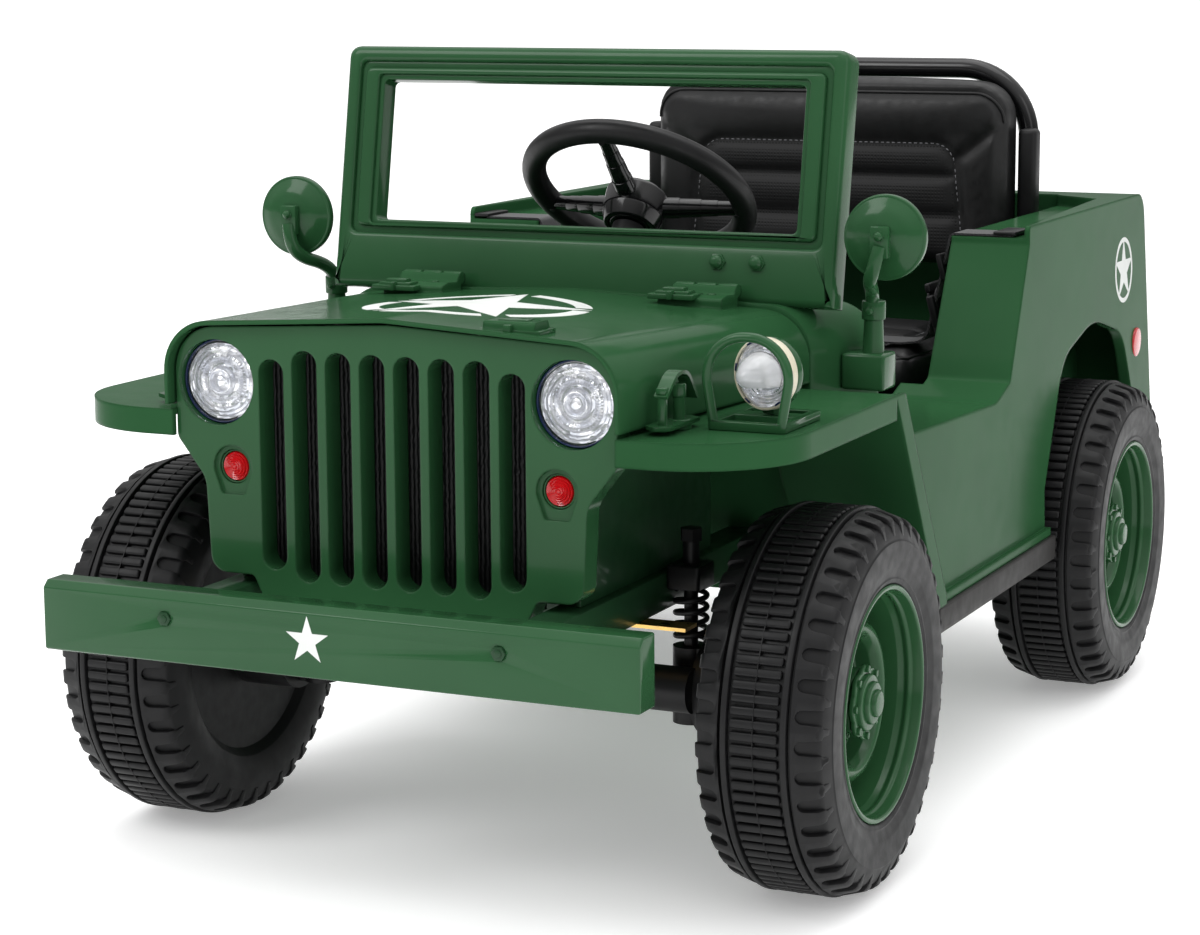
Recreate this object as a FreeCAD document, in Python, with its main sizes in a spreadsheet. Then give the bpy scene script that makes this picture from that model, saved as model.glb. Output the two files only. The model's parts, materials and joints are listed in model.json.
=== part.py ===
import FreeCAD, Part
import Sketcher
import math
import operator
import os

# Ride-on toy car styled as an open army 4x4, in millimetres.
# +Z is up, the car faces -Y, +X is its left side, and the origin lies on the floor
# under the middle of its box. Heights are measured from the floor, and the stations
# named "ahead" or "behind" are measured from the front axle.

Vector = FreeCAD.Vector
doc = FreeCAD.newDocument("ride_on_army_car")
sheet = doc.addObject("Spreadsheet::Sheet", "Sizes")

DRIVING_SIZES = [
    # whole car
    ("front_overhang", 248, "front axle to the bumper's face"),
    ("wheelbase", 648, "front axle to rear axle"),
    ("rear_overhang", 199, "rear axle to the tail of the tub"),
    ("track", 500, "middle of one tyre to the middle of the other"),
    # wheels
    ("tyre_radius", 135, "to the tips of the tread"),
    ("tyre_width", 96, "over the sidewalls"),
    ("seat_radius", 80, "bore of the tyre that holds the rim"),
    ("rim_lip", 3, "height of the rim's lip over the bore"),
    ("rim_gap", 0.3, "clearance between tyre and rim"),
    ("wheel_disc", 6, "thickness of the closed inner side of a wheel"),
    ("stub_radius", 7, "radius of the stub axles"),
    ("running_gap", 0.1, "radial clearance of what turns on a shaft"),
    # tub
    ("tub_low_width", 524, "outside width of the tub at the sills"),
    ("tub_top_width", 510, "outside width of the tub at its rim"),
    ("tub_wall", 4, "wall of the moulded tub"),
    ("sill_height", 160, "underside of the tub between the axles"),
    ("tail_height", 198, "underside of the tub behind the rear wheels"),
    ("door_height", 290, "lowest edge of the door cut-outs"),
    ("ledge_height", 412, "top of the boxes over the rear wheels"),
    ("rim_height", 422, "top edge of the tub's sides and tail"),
    ("tail_lean", 26, "how far the tail leans in at its top"),
    ("post_foot", 395, "behind: foot of the post behind the door cut-out"),
    ("post_head", 455, "behind: head of that post"),
    ("box_gap", 378, "clear width between the boxes over the rear wheels"),
    ("footwell_width", 340, "clear width of the footwell between the hollow sills"),
    ("tail_shelf", 50, "width of the tail's flat top"),
    ("arch_half", 154, "half width of the opening round a rear wheel"),
    ("arch_top", 324, "top of the opening round a rear wheel"),
    # front wings
    ("wing_width", 540, "width over the front wings"),
    ("wing_height", 335, "top face of the front wings"),
    ("wing_lip", 18, "depth of the turned-down edge"),
    ("wing_wall", 4, "wall of the front wings"),
    ("wing_nose", 165, "ahead: front edge of the wings"),
    ("wing_front_flat", 21.2, "straight part of a wing's front edge before its round corner"),
    ("leg_head", 88, "behind: where the wing turns down behind the wheel"),
    ("leg_foot", 190, "behind: where that panel meets the sill"),
    # bonnet and grille
    ("bonnet_nose", 168, "ahead: front edge of the bonnet"),
    ("bonnet_tail", 118, "behind: rear edge of the bonnet"),
    ("nose_width", 342, "bonnet width at its front edge"),
    ("tail_width", 386, "bonnet width at its rear edge"),
    ("nose_crown", 406, "top of the bonnet at its front edge"),
    ("tail_crown", 396, "top of the bonnet at its rear edge"),
    ("nose_skirt", 339, "lower edge of the bonnet's side at the front"),
    ("bonnet_corner", 36, "outside radius of the bonnet's long edges"),
    ("bonnet_wall", 3, "wall of the bonnet"),
    ("seat_gap", 0.3, "clearance between fixed pieces that meet on slopes"),
    ("grille_set_back", 8, "grille face behind the bonnet's front edge"),
    ("panel_inset", 4.5, "edge of the grille panel inside the bonnet's outer surface"),
    ("grille_depth", 20, "depth of the moulded grille panel"),
    ("grille_foot", 223, "lower corners of the grille panel"),
    ("grille_chin", 200, "lower edge of the middle of the grille panel"),
    ("slot_pitch", 26, "spacing of the grille slots"),
    ("slot_width", 19.5, "width of a grille slot"),
    ("slot_low", 221, "lower end of the tall slots"),
    ("slot_high", 380, "upper end of the tall slots"),
    ("outer_slot_trim", 7, "how much the two outer slots are shorter at each end"),
    ("lamp_spread", 269, "headlamp centre to headlamp centre"),
    ("lamp_height", 355, "headlamp centres"),
    ("lamp_radius", 28, "lens of a headlamp"),
    ("lamp_rim", 1.2, "rim round a lens"),
    ("lamp_cup", 2.2, "wall of the cups that hold the lamps"),
    ("marker_spread", 246, "marker lamp centre to centre"),
    ("marker_drop", 58, "marker lamp centres below the headlamp centres"),
    ("marker_radius", 10.5, "lens of a marker lamp"),
    # front frame and bumper
    ("bumper_width", 442, "length of the front bumper"),
    ("bumper_low", 179, "lower edge of the bumper"),
    ("bumper_high", 227, "upper edge of the bumper"),
    ("bumper_depth", 24, "depth of the bumper's channel"),
    ("bumper_wall", 4, "wall of the bumper's channel"),
    ("bumper_bolt_spread", 248, "distance of the bumper's two bolt holes"),
    ("bumper_bolt_radius", 4, "radius of those holes"),
    ("rail_spread", 248, "middle of one frame rail to the other"),
    ("rail_width", 26, "width of a frame rail"),
    ("rail_low", 190, "underside of the frame rails"),
    ("rail_high", 216, "top of the frame rails"),
    # cowl, dash and windscreen
    ("cowl_width", 436, "width of the cowl at the dash"),
    ("dash_station", 196, "behind: rear face of the dash"),
    ("cowl_wall", 4, "wall of the cowl"),
    ("cowl_skirt", 300, "lower edge of the cowl's sides"),
    ("screen_foot", 126, "behind: front face of the windscreen at its foot"),
    ("screen_width", 413, "width of the windscreen frame"),
    ("screen_tall", 187, "height of the windscreen frame along its slope"),
    ("screen_lean", 10.1, "backward lean of the windscreen in degrees"),
    ("screen_depth", 22, "depth of the windscreen frame"),
    ("screen_foot_height", 389, "lower edge of the windscreen frame"),
    ("screen_side", 32.5, "width of the windscreen frame beside its opening"),
    ("screen_panel", 53, "height of the panel under the opening"),
    ("screen_header", 26, "height of the frame over the opening"),
    ("screen_border", 12, "width of the frame's plain outer border"),
    ("screen_groove", 5, "width of the groove between border and opening"),
    ("sight_step", 4, "width of the step round the opening"),
    # steering
    ("hand_wheel_radius", 85, "middle of the steering wheel's ring"),
    ("hand_wheel_tube", 9.5, "radius of the ring's tube"),
    ("hand_wheel_station", 249, "behind: middle of the steering wheel"),
    ("hand_wheel_height", 458, "middle of the steering wheel"),
    ("column_lean", 37, "lean of the steering column from upright in degrees"),
    ("column_radius", 9, "radius of the steering column"),
    ("king_pin_spread", 300, "distance of the two king pins"),
    ("king_pin_radius", 5, "radius of a king pin"),
    ("hanger_spread", 280, "distance of the rear axle's two hangers at their inner faces"),
    # seat and roll bar
    ("seat_width", 340, "width of the seat"),
    ("seat_front", 408, "behind: front edge of the seat"),
    ("seat_height", 318, "top of the seat cushion"),
    ("cushion_thick", 34, "thickness of the seat cushion"),
    ("battery_drop", 26, "top of the battery below the top of the seat's base"),
    ("back_station", 662, "behind: front face of the back cushion"),
    ("back_low", 364, "lower edge of the back cushion"),
    ("back_high", 530, "top of the back cushion"),
    ("bar_radius", 9, "radius of the roll bar's tube"),
    ("bar_spread", 358, "middle of one leg of the roll bar to the other"),
    ("bar_station", 718, "behind: middle of the roll bar's tube"),
    ("bar_top", 547, "top of the roll bar"),
    ("bar_bend", 62, "bend radius of the roll bar at the tube's middle"),
    # lamp and latches on the wings
    ("wing_lamp_spot", 232, "middle of the wing lamp, left of the car's middle"),
    ("wing_lamp_station", 72, "ahead: face of the wing lamp"),
    ("wing_lamp_height", 369, "middle of the wing lamp"),
    ("wing_lamp_radius", 23, "lens of the wing lamp"),
    ("wing_lamp_depth", 19, "depth of the wing lamp's drum"),
    ("wing_lamp_turn", 15, "how far the wing lamp looks inwards in degrees"),
    ("guard_station", 100, "ahead: hoop of the lamp guard"),
    ("guard_tube", 3.3, "radius of the guard's tube"),
    ("guard_foot", 6, "height of the guard's base frame"),
    ("guard_top", 400, "top of the lamp guard"),
    ("latch_spread", 372, "distance of the two bonnet latches"),
    ("latch_station", 105, "ahead: round post of a bonnet latch"),
    ("latch_post", 30, "height of a latch's posts"),
    # mirrors
    ("mirror_spread", 486, "middle of one mirror to the other"),
    ("mirror_station", 137, "behind: mirrors"),
    ("mirror_height", 441, "middle of the mirrors"),
    ("mirror_radius", 31, "radius of a mirror"),
]

for row, (name, number, meaning) in enumerate(DRIVING_SIZES, start=1):
    sheet.set(f"A{row}", name)
    sheet.set(f"B{row}", str(number))
    sheet.setAlias(f"B{row}", name)
    sheet.set(f"C{row}", meaning)
doc.recompute()


# A size keeps its number together with the sheet expression that binds it.
class Size:
    def __init__(self, number, text):
        self.number = number
        self.text = text

    def __add__(self, other):
        return combine(operator.add, "+", self, other)

    def __radd__(self, other):
        return combine(operator.add, "+", other, self)

    def __sub__(self, other):
        return combine(operator.sub, "-", self, other)

    def __rsub__(self, other):
        return combine(operator.sub, "-", other, self)

    def __mul__(self, other):
        return combine(operator.mul, "*", self, other)

    def __rmul__(self, other):
        return combine(operator.mul, "*", other, self)

    def __truediv__(self, other):
        return combine(operator.truediv, "/", self, other)

    def __neg__(self):
        return combine(operator.sub, "-", 0, self)


def as_size(value):
    return value if isinstance(value, Size) else Size(float(value), f"{float(value):.6f}")


def combine(operation, sign, left, right):
    left, right = as_size(left), as_size(right)
    return Size(operation(left.number, right.number), f"({left.text} {sign} {right.text})")


def sine(angle):
    return Size(math.sin(math.radians(angle.number)), f"sin({angle.text} * 1 deg)")


def cosine(angle):
    return Size(math.cos(math.radians(angle.number)), f"cos({angle.text} * 1 deg)")


size = {name: Size(float(number), f"Sizes.{name}") for name, number, meaning in DRIVING_SIZES}


def bind(item, path, value):
    value = as_size(value)
    item.setExpression(path, value.text)


def place(item, across, along, up):
    bind(item, "Placement.Base.x", across)
    bind(item, "Placement.Base.y", along)
    bind(item, "Placement.Base.z", up)


def turn(item, axis, degrees):
    item.Placement = FreeCAD.Placement(Vector(), FreeCAD.Rotation(axis, as_size(degrees).number))
    item.setExpression("Placement.Rotation.Angle", f"{as_size(degrees).text} * 1 deg")


# Sketches and features
PLANE_OF_AXIS = {"x": "YZ_Plane", "y": "XZ_Plane", "z": "XY_Plane"}
cuts = []


def new_body(name):
    return doc.addObject("PartDesign::Body", name)


def new_sketch(body, name, axis, station):
    """A sketch square to an axis. Square to y, its plane faces -Y."""
    plane = [face for face in body.Origin.OriginFeatures if face.Role == PLANE_OF_AXIS[axis]][0]
    sketch = body.newObject("Sketcher::SketchObject", name)
    sketch.AttachmentSupport = [(plane, "")]
    sketch.MapMode = "FlatFace"
    bind(sketch, "AttachmentOffset.Base.z", -as_size(station) if axis == "y" else station)
    return sketch


def fix_point(rules, bound, geometry, position, across, up):
    for kind, value in (("DistanceX", across), ("DistanceY", up)):
        bound.append((len(rules), value))
        rules.append(Sketcher.Constraint(kind, -1, 1, geometry, position, value.number))


def apply_rules(sketch, rules, bound):
    first = sketch.ConstraintCount
    sketch.addConstraint(rules)
    for index, value in bound:
        sketch.setExpression(f"Constraints[{first + index}]", value.text)


def draw_outline(sketch, corners, closed=True):
    """An outline through its corners, each (across, up) or (across, up, radius)."""
    count = len(corners)
    ends = [(as_size(corner[0]), as_size(corner[1])) for corner in corners]
    spots = [Vector(across.number, up.number, 0) for across, up in ends]
    rounds = {index: as_size(corner[2]) for index, corner in enumerate(corners) if len(corner) > 2}
    arrive, leave, centres = list(spots), list(spots), {}
    for index, radius in rounds.items():
        back = (spots[index - 1] - spots[index]).normalize()
        ahead = (spots[(index + 1) % count] - spots[index]).normalize()
        half = back.getAngle(ahead) / 2
        arrive[index] = spots[index] + back * (radius.number / math.tan(half))
        leave[index] = spots[index] + ahead * (radius.number / math.tan(half))
        centres[index] = spots[index] + (back + ahead).normalize() * (radius.number / math.sin(half))
    first = sketch.GeometryCount
    for index in range(count if closed else count - 1):
        sketch.addGeometry(Part.LineSegment(leave[index], arrive[(index + 1) % count]))
    rules, bound = [], []
    for index, (across, up) in enumerate(ends):
        line_in, line_out = first + (index - 1) % count, first + index
        if not closed and index in (0, count - 1):
            fix_point(rules, bound, *((line_out, 1) if index == 0 else (line_in, 2)), across, up)
            continue
        if index not in rounds:
            rules.append(Sketcher.Constraint("Coincident", line_in, 2, line_out, 1))
            fix_point(rules, bound, line_out, 1, across, up)
            continue
        centre, radius = centres[index], rounds[index]
        low = math.atan2(arrive[index].y - centre.y, arrive[index].x - centre.x)
        high = math.atan2(leave[index].y - centre.y, leave[index].x - centre.x)
        leftward = (high - low) % (2 * math.pi) < math.pi
        circle = Part.Circle(centre, Vector(0, 0, 1), radius.number)
        arc = sketch.addGeometry(Part.ArcOfCircle(circle, *((low, high) if leftward else (high, low))))
        corner = sketch.addGeometry(Part.Point(spots[index]), True)
        rules.append(Sketcher.Constraint("Tangent", line_in, 2, arc, 1 if leftward else 2))
        rules.append(Sketcher.Constraint("Tangent", line_out, 1, arc, 2 if leftward else 1))
        rules.append(Sketcher.Constraint("PointOnObject", corner, 1, line_in))
        rules.append(Sketcher.Constraint("PointOnObject", corner, 1, line_out))
        fix_point(rules, bound, corner, 1, across, up)
        bound.append((len(rules), radius))
        rules.append(Sketcher.Constraint("Radius", arc, radius.number))
    apply_rules(sketch, rules, bound)


def draw_circle(sketch, across, up, radius):
    across, up, radius = as_size(across), as_size(up), as_size(radius)
    spot = Vector(across.number, up.number, 0)
    ring = sketch.addGeometry(Part.Circle(spot, Vector(0, 0, 1), radius.number))
    rules, bound = [], []
    fix_point(rules, bound, ring, 3, across, up)
    bound.append((len(rules), radius))
    rules.append(Sketcher.Constraint("Radius", ring, radius.number))
    apply_rules(sketch, rules, bound)


def draw_slot(sketch, across, low, high, width):
    """An upright slot with round ends."""
    radius = width / 2
    across = as_size(across)
    tops = ((across, high - radius, 0, math.pi), (across, low + radius, math.pi, 2 * math.pi))
    rules, bound, arcs = [], [], []
    for middle, up, start, end in tops:
        circle = Part.Circle(Vector(middle.number, up.number, 0), Vector(0, 0, 1), radius.number)
        arc = sketch.addGeometry(Part.ArcOfCircle(circle, start, end))
        arcs.append(arc)
        fix_point(rules, bound, arc, 3, middle, up)
        bound.append((len(rules), radius))
        rules.append(Sketcher.Constraint("Radius", arc, radius.number))
    upper, lower = arcs
    for side, (top_end, low_end) in ((1, (1, 2)), (-1, (2, 1))):
        edge = tops[0][0].number + side * radius.number
        line = sketch.addGeometry(
            Part.LineSegment(Vector(edge, tops[0][1].number, 0), Vector(edge, tops[1][1].number, 0)))
        rules.append(Sketcher.Constraint("Tangent", line, 1, upper, top_end))
        rules.append(Sketcher.Constraint("Tangent", line, 2, lower, low_end))
    apply_rules(sketch, rules, bound)


def extrude(body, kind, name, axis, low, high, draw):
    """A Pad or Pocket from low to high along an axis. draw puts the outline into its sketch."""
    sketch = new_sketch(body, name + "_outline", axis, high if axis == "y" else low)
    draw(sketch)
    feature = body.newObject("PartDesign::" + kind, name)
    feature.Profile = sketch
    feature.Reversed = kind == "Pocket"
    bind(feature, "Length", as_size(high) - low)
    body.Tip = feature
    if kind == "Pocket":
        cuts.append(feature)
    return feature


def between(first, second):
    """Two places in rising order."""
    return (first, second) if first.number < second.number else (second, first)


def pad(body, name, axis, low, high, *corners):
    return extrude(body, "Pad", name, axis, low, high, lambda sketch: draw_outline(sketch, corners))


def pocket(body, name, axis, low, high, *corners):
    return extrude(body, "Pocket", name, axis, low, high, lambda sketch: draw_outline(sketch, corners))


def bore(body, name, axis, low, high, *circles):
    def draw(sketch):
        for circle in circles:
            draw_circle(sketch, *circle)
    return extrude(body, "Pocket", name, axis, low, high, draw)


def boss(body, name, axis, low, high, *circles):
    def draw(sketch):
        for circle in circles:
            draw_circle(sketch, *circle)
    return extrude(body, "Pad", name, axis, low, high, draw)


def spin(body, name, corners, kind="Revolution"):
    """A profile of (along the body's own X, radius) turned round that X axis."""
    sketch = new_sketch(body, name + "_outline", "z", 0)
    draw_outline(sketch, corners)
    feature = body.newObject("PartDesign::" + kind, name)
    feature.Profile = sketch
    feature.ReferenceAxis = (sketch, ["H_Axis"])
    feature.Angle = 360
    body.Tip = feature
    return feature


def loft(body, kind, name, axis, stations):
    """A loft through sections: (station, corners) of equally many corners, or (station, circle)."""
    sketches = []
    for index, (station, section) in enumerate(stations):
        sketch = new_sketch(body, f"{name}_section_{index}", axis, station)
        if isinstance(section, tuple):
            draw_circle(sketch, *section)
        else:
            draw_outline(sketch, section)
        sketches.append(sketch)
    feature = body.newObject("PartDesign::" + kind, name)
    feature.Profile = sketches[0]
    feature.Sections = sketches[1:]
    feature.Ruled = True
    body.Tip = feature
    return feature


def block(low, high, *radius):
    """The four corners of an upright or level rectangle."""
    return [(low[0], low[1], *radius), (high[0], low[1], *radius),
            (high[0], high[1], *radius), (low[0], high[1], *radius)]


# Part primitives
def new_box(name, low, high):
    box = doc.addObject("Part::Box", name)
    for side, start, end in zip(("Length", "Width", "Height"), low, high):
        bind(box, side, as_size(end) - start)
    place(box, *low)
    return box


def new_rod(name, radius, length, axis=None, degrees=0):
    rod = doc.addObject("Part::Cylinder", name)
    bind(rod, "Radius", radius)
    bind(rod, "Height", length)
    if axis:
        turn(rod, axis, degrees)
    return rod


def new_join(name, *items):
    join = doc.addObject("Part::MultiFuse", name)
    join.Shapes = list(items)
    return join


def new_cut(name, base, *tools):
    tool = tools[0] if len(tools) == 1 else new_join(name + "_tools", *tools)
    cut = doc.addObject("Part::Cut", name)
    cut.Base, cut.Tool = base, tool
    return cut


nodes = []


def keep(item, name):
    """Marks an object as a finished sub-part whose label names its file."""
    item.Label = name
    nodes.append(item)
    return item


def keep_group(items, name):
    """Marks like pieces that don't touch as one finished sub-part."""
    group = doc.addObject("Part::Compound", name + "_group")
    group.Links = items
    return keep(group, name)


SIDES = (("left", 1), ("right", -1))

# Stations and heights that many pieces share
front_axle = size["front_overhang"] - (
    size["front_overhang"] + size["wheelbase"] + size["rear_overhang"]) / 2
rear_axle_station = front_axle + size["wheelbase"]
tail = rear_axle_station + size["rear_overhang"]
axle_height = size["tyre_radius"]
half_track = size["track"] / 2
half_tyre = size["tyre_width"] / 2


def ahead(distance):
    return front_axle - distance


def behind(distance):
    return front_axle + distance


def leg_rear(height):
    """The station just behind the sloping panel at the rear of a front wheel's space."""
    fall = (size["leg_foot"] - size["leg_head"]) / (size["wing_height"] - size["sill_height"])
    return (behind(size["leg_foot"]) + size["wing_wall"] + size["seat_gap"]
            - fall * (height - size["sill_height"]))


def along_cowl(station, start, end):
    """A size that changes evenly from the cowl's front edge to its rear edge."""
    run = size["dash_station"] - size["bonnet_tail"]
    return start + (end - start) / run * (station - behind(size["bonnet_tail"]))


def cowl_half(station):
    return along_cowl(station, size["tail_width"], size["cowl_width"]) / 2


# Wheels: a blow-moulded tyre that is closed on its inner side, and a dished rim
# pressed into it from outside
WHEELS = [(f"{end}_{side}", station, hand)
          for end, station in (("front", front_axle), ("rear", rear_axle_station))
          for side, hand in SIDES]


def make_tyre(name, station, hand):
    radius, bore_radius = size["tyre_radius"], size["seat_radius"]
    shaft = size["stub_radius"] + size["running_gap"]
    disc = half_tyre - 10
    body = new_body("tyre_" + name)
    crown, shoulder = half_tyre - 25, half_tyre - 6
    spin(body, "tyre_profile_" + name, [
        (-disc * hand, shaft), (-disc * hand, bore_radius + 6),
        (-(half_tyre - 2) * hand, bore_radius + 14),
        (-half_tyre * hand, radius - 26), (-(half_tyre - 2.5) * hand, radius - 12),
        (-shoulder * hand, radius - 6.5), (-crown * hand, radius), (crown * hand, radius),
        (shoulder * hand, radius - 6.5), ((half_tyre - 2.5) * hand, radius - 12),
        (half_tyre * hand, radius - 26), ((half_tyre - 2) * hand, bore_radius + 14),
        ((half_tyre - 8) * hand, bore_radius),
        (-(disc - size["wheel_disc"]) * hand, bore_radius),
        (-(disc - size["wheel_disc"]) * hand, shaft)])
    place(body, half_track * hand, station, axle_height)
    return keep(body, "tyre_" + name)


def make_rim(name, station, hand):
    outer = size["seat_radius"] - size["rim_gap"]
    lip = size["seat_radius"] + size["rim_lip"]
    shaft = size["stub_radius"] + size["running_gap"]
    face, barrel_end = half_tyre - 3, -28 * hand
    cap, flange, recess, shaft_end = (face - 5) * hand, (face - 14.5) * hand, 6 * hand, 14 * hand
    body = new_body("rim_" + name)
    spin(body, "rim_profile_" + name, [
        ((face - 5) * hand, lip - 5), (face * hand, lip - 3.5), (face * hand, lip - 1),
        ((face - 1) * hand, lip), ((face - 3) * hand, lip), ((face - 3) * hand, outer),
        (barrel_end, outer), (barrel_end, outer - 4), (2 * hand, outer - 4),
        (4 * hand, 62), (2 * hand, 20), (barrel_end, 14), (barrel_end, shaft),
        (shaft_end, shaft), (shaft_end, 0), (cap, 0), (cap, 9), (cap - 3 * hand, 10),
        (cap - 3 * hand, 15), (cap - 6 * hand, 16), (flange, 20), (flange, 26),
        (flange - 4 * hand, 26), (flange - 4 * hand, 23.5),
        (recess + 3 * hand, 23.5), (recess + 3 * hand, 42), (18 * hand, 43.5), (25 * hand, 48),
        (25.5 * hand, 53), (20 * hand, 57.5), (13 * hand, 58.5), (9 * hand, 62), (7 * hand, outer - 6),
        (9 * hand, outer - 5)])
    place(body, half_track * hand, station, axle_height)
    return keep(body, "rim_" + name)


for wheel in WHEELS:
    make_tyre(*wheel)
    make_rim(*wheel)


# Tub: one moulded shell, open below, with door cut-outs over hollow sills, boxes over the
# rear wheels and a hollow tail
def make_tub():
    wall, floor = size["tub_wall"], size["sill_height"]
    low, top = size["tub_low_width"] / 2, size["tub_top_width"] / 2
    skin, box_side, foot_side = top - wall, size["box_gap"] / 2, size["footwell_width"] / 2
    post_foot, post_head = behind(size["post_foot"]), behind(size["post_head"])
    door, rim, ledge = size["door_height"], size["rim_height"], size["ledge_height"]
    foot, high_floor = behind(size["leg_foot"]), size["tail_height"]
    cowl_side = size["cowl_skirt"] - 2
    front_top = size["wing_height"] - size["wing_lip"] - 4
    tail_top = tail - size["tail_lean"]
    bay_end = tail_top - size["tail_shelf"]
    arch_front = rear_axle_station - size["arch_half"]
    arch_rear = rear_axle_station + size["arch_half"]
    step = arch_front + 20
    body = new_body("tub")
    pad(body, "tub_solid", "x", -low, low,
        (leg_rear(floor), floor), (step, floor), (step, high_floor),
        (tail, high_floor, 6), (tail, high_floor + 12), (tail_top, rim, 22), (post_head, rim, 5),
        (post_head, ledge - 5, 6), (post_foot + 4, door + 12, 8), (post_foot - 34, door, 40),
        (foot - 70, cowl_side), (leg_rear(front_top), front_top))
    for side, hand in SIDES:
        pocket(body, "taper_" + side, "y", ahead(0), tail + 1,
               ((low + 1) * hand, floor - 1), ((low + 1) * hand, rim + 1), (top * hand, rim + 1),
               (top * hand, rim), (low * hand, floor))
    footwell_front = leg_rear(front_top) + wall
    pocket(body, "footwell", "x", -foot_side, foot_side,
           (leg_rear(floor + wall) + wall, floor + wall), (post_foot - wall, floor + wall),
           (post_foot - wall, door - 10), (post_foot + 20, rim + 1), (footwell_front, rim + 1),
           (footwell_front, front_top))
    pocket(body, "seat_well", "x", -box_side, box_side,
           (post_foot - wall - 1, floor + wall), (step - wall, floor + wall),
           (step - wall, high_floor + wall), (bay_end, high_floor + wall),
           (bay_end, rim + 1), (post_foot - 30, rim + 1), (post_foot - wall - 1, door - 10))
    rim_edge = skin - 18
    pocket(body, "rim_step", "z", ledge, rim + 1,
           (-skin, post_foot - 40), (skin, post_foot - 40), (skin, post_head),
           (rim_edge, bay_end - 34), (box_side - 8, bay_end, 30), (-box_side + 8, bay_end, 30),
           (-rim_edge, bay_end - 34), (-skin, post_head))
    pocket(body, "tail_hollow", "x", -box_side, box_side,
           (bay_end + wall, high_floor - 1), (tail - wall, high_floor - 1), (tail - wall, high_floor + 12),
           (tail_top - wall, rim - 22), (tail_top - 22, rim - wall), (bay_end + wall, rim - wall))
    for side, hand in SIDES:
        well = between((box_side + wall) * hand, (skin - 2) * hand)
        pocket(body, "wheel_well_" + side, "x", *well,
               (post_foot + 3 * wall, floor - 1), (tail - 2 * wall, floor - 1),
               (tail_top - wall, ledge - wall - 20, 20), (post_head + 8, ledge - wall - 8),
               (post_foot + 20, door), (post_foot + 3 * wall, door - 20))
        sill = between((foot_side + wall) * hand, (skin - 2) * hand)
        pocket(body, "sill_hollow_" + side, "x", *sill,
               (leg_rear(floor + wall) + 2 * wall, floor + wall),
               (post_foot + 3 * wall + 1, floor + wall), (post_foot + 3 * wall + 1, door - 30),
               (post_foot - 34, door - wall),
               (foot - 70, cowl_side - wall), (leg_rear(front_top) + 2 * wall, front_top - wall - 4))
        skins = between((skin - 3) * hand, (low + 1) * hand)
        pocket(body, "arch_" + side, "x", *skins,
               (arch_front, floor - 1), (arch_rear, floor - 1),
               (arch_rear, high_floor), (arch_rear - 58, size["arch_top"] - 22, 55),
               (rear_axle_station, size["arch_top"], 130), (arch_front + 58, size["arch_top"] - 22, 55),
               (arch_front, high_floor))
        lip = between((low - 2) * hand, (low + 5) * hand)
        pad(body, "sill_lip_" + side, "x", *lip,
            *block((foot + size["wing_lip"] + 1, floor), (arch_front, floor + 7)))
    return keep(body, "tub")


make_tub()


# Front wings: a flat top with a turned-down edge, and a panel that slopes to the sill
def make_wing(side, hand):
    outer, wall, lip = size["wing_width"] / 2, size["wing_wall"], size["wing_lip"]
    inner = size["nose_width"] / 2 - size["panel_inset"] + size["seat_gap"]
    top = size["wing_height"]
    head, foot, floor = behind(size["leg_head"]), behind(size["leg_foot"]), size["sill_height"]
    nose, corner = ahead(size["wing_nose"]), outer - inner - size["wing_front_flat"]
    body = new_body("wing_" + side)
    pad(body, f"wing_top_{side}", "z", top - lip, top,
        (inner * hand, nose), (outer * hand, nose, corner), (outer * hand, head), (inner * hand, head))
    pocket(body, f"wing_hollow_{side}", "z", top - lip - 1, top - wall,
           ((inner - 1) * hand, nose + wall), ((outer - wall) * hand, nose + wall, corner - wall),
           ((outer - wall) * hand, head + 1), ((inner - 1) * hand, head + 1))
    pad(body, f"wing_leg_{side}", "x", *between(inner * hand, outer * hand),
        (head - 2, top), (head + wall, top), (foot + wall, floor), (foot - 1, floor))
    pad(body, f"wing_leg_lip_{side}", "x", *between((outer - wall) * hand, outer * hand),
        (head - 2, top), (head + lip, top, 8), (foot + lip, floor + 6), (foot + lip, floor),
        (foot - 1, floor))
    return keep(body, "wing_" + side)


for side, hand in SIDES:
    make_wing(side, hand)


# Bonnet: a thin crowned shell, narrower and deeper at its nose
def bonnet_section(width, crown, skirt, corner, inset):
    half = width / 2 - inset
    shoulder = crown - 8 - inset
    return [(-half, skirt), (half, skirt), (half, shoulder - 2, corner), (0, crown - inset, 60),
            (-half, shoulder - 2, corner)]


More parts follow.
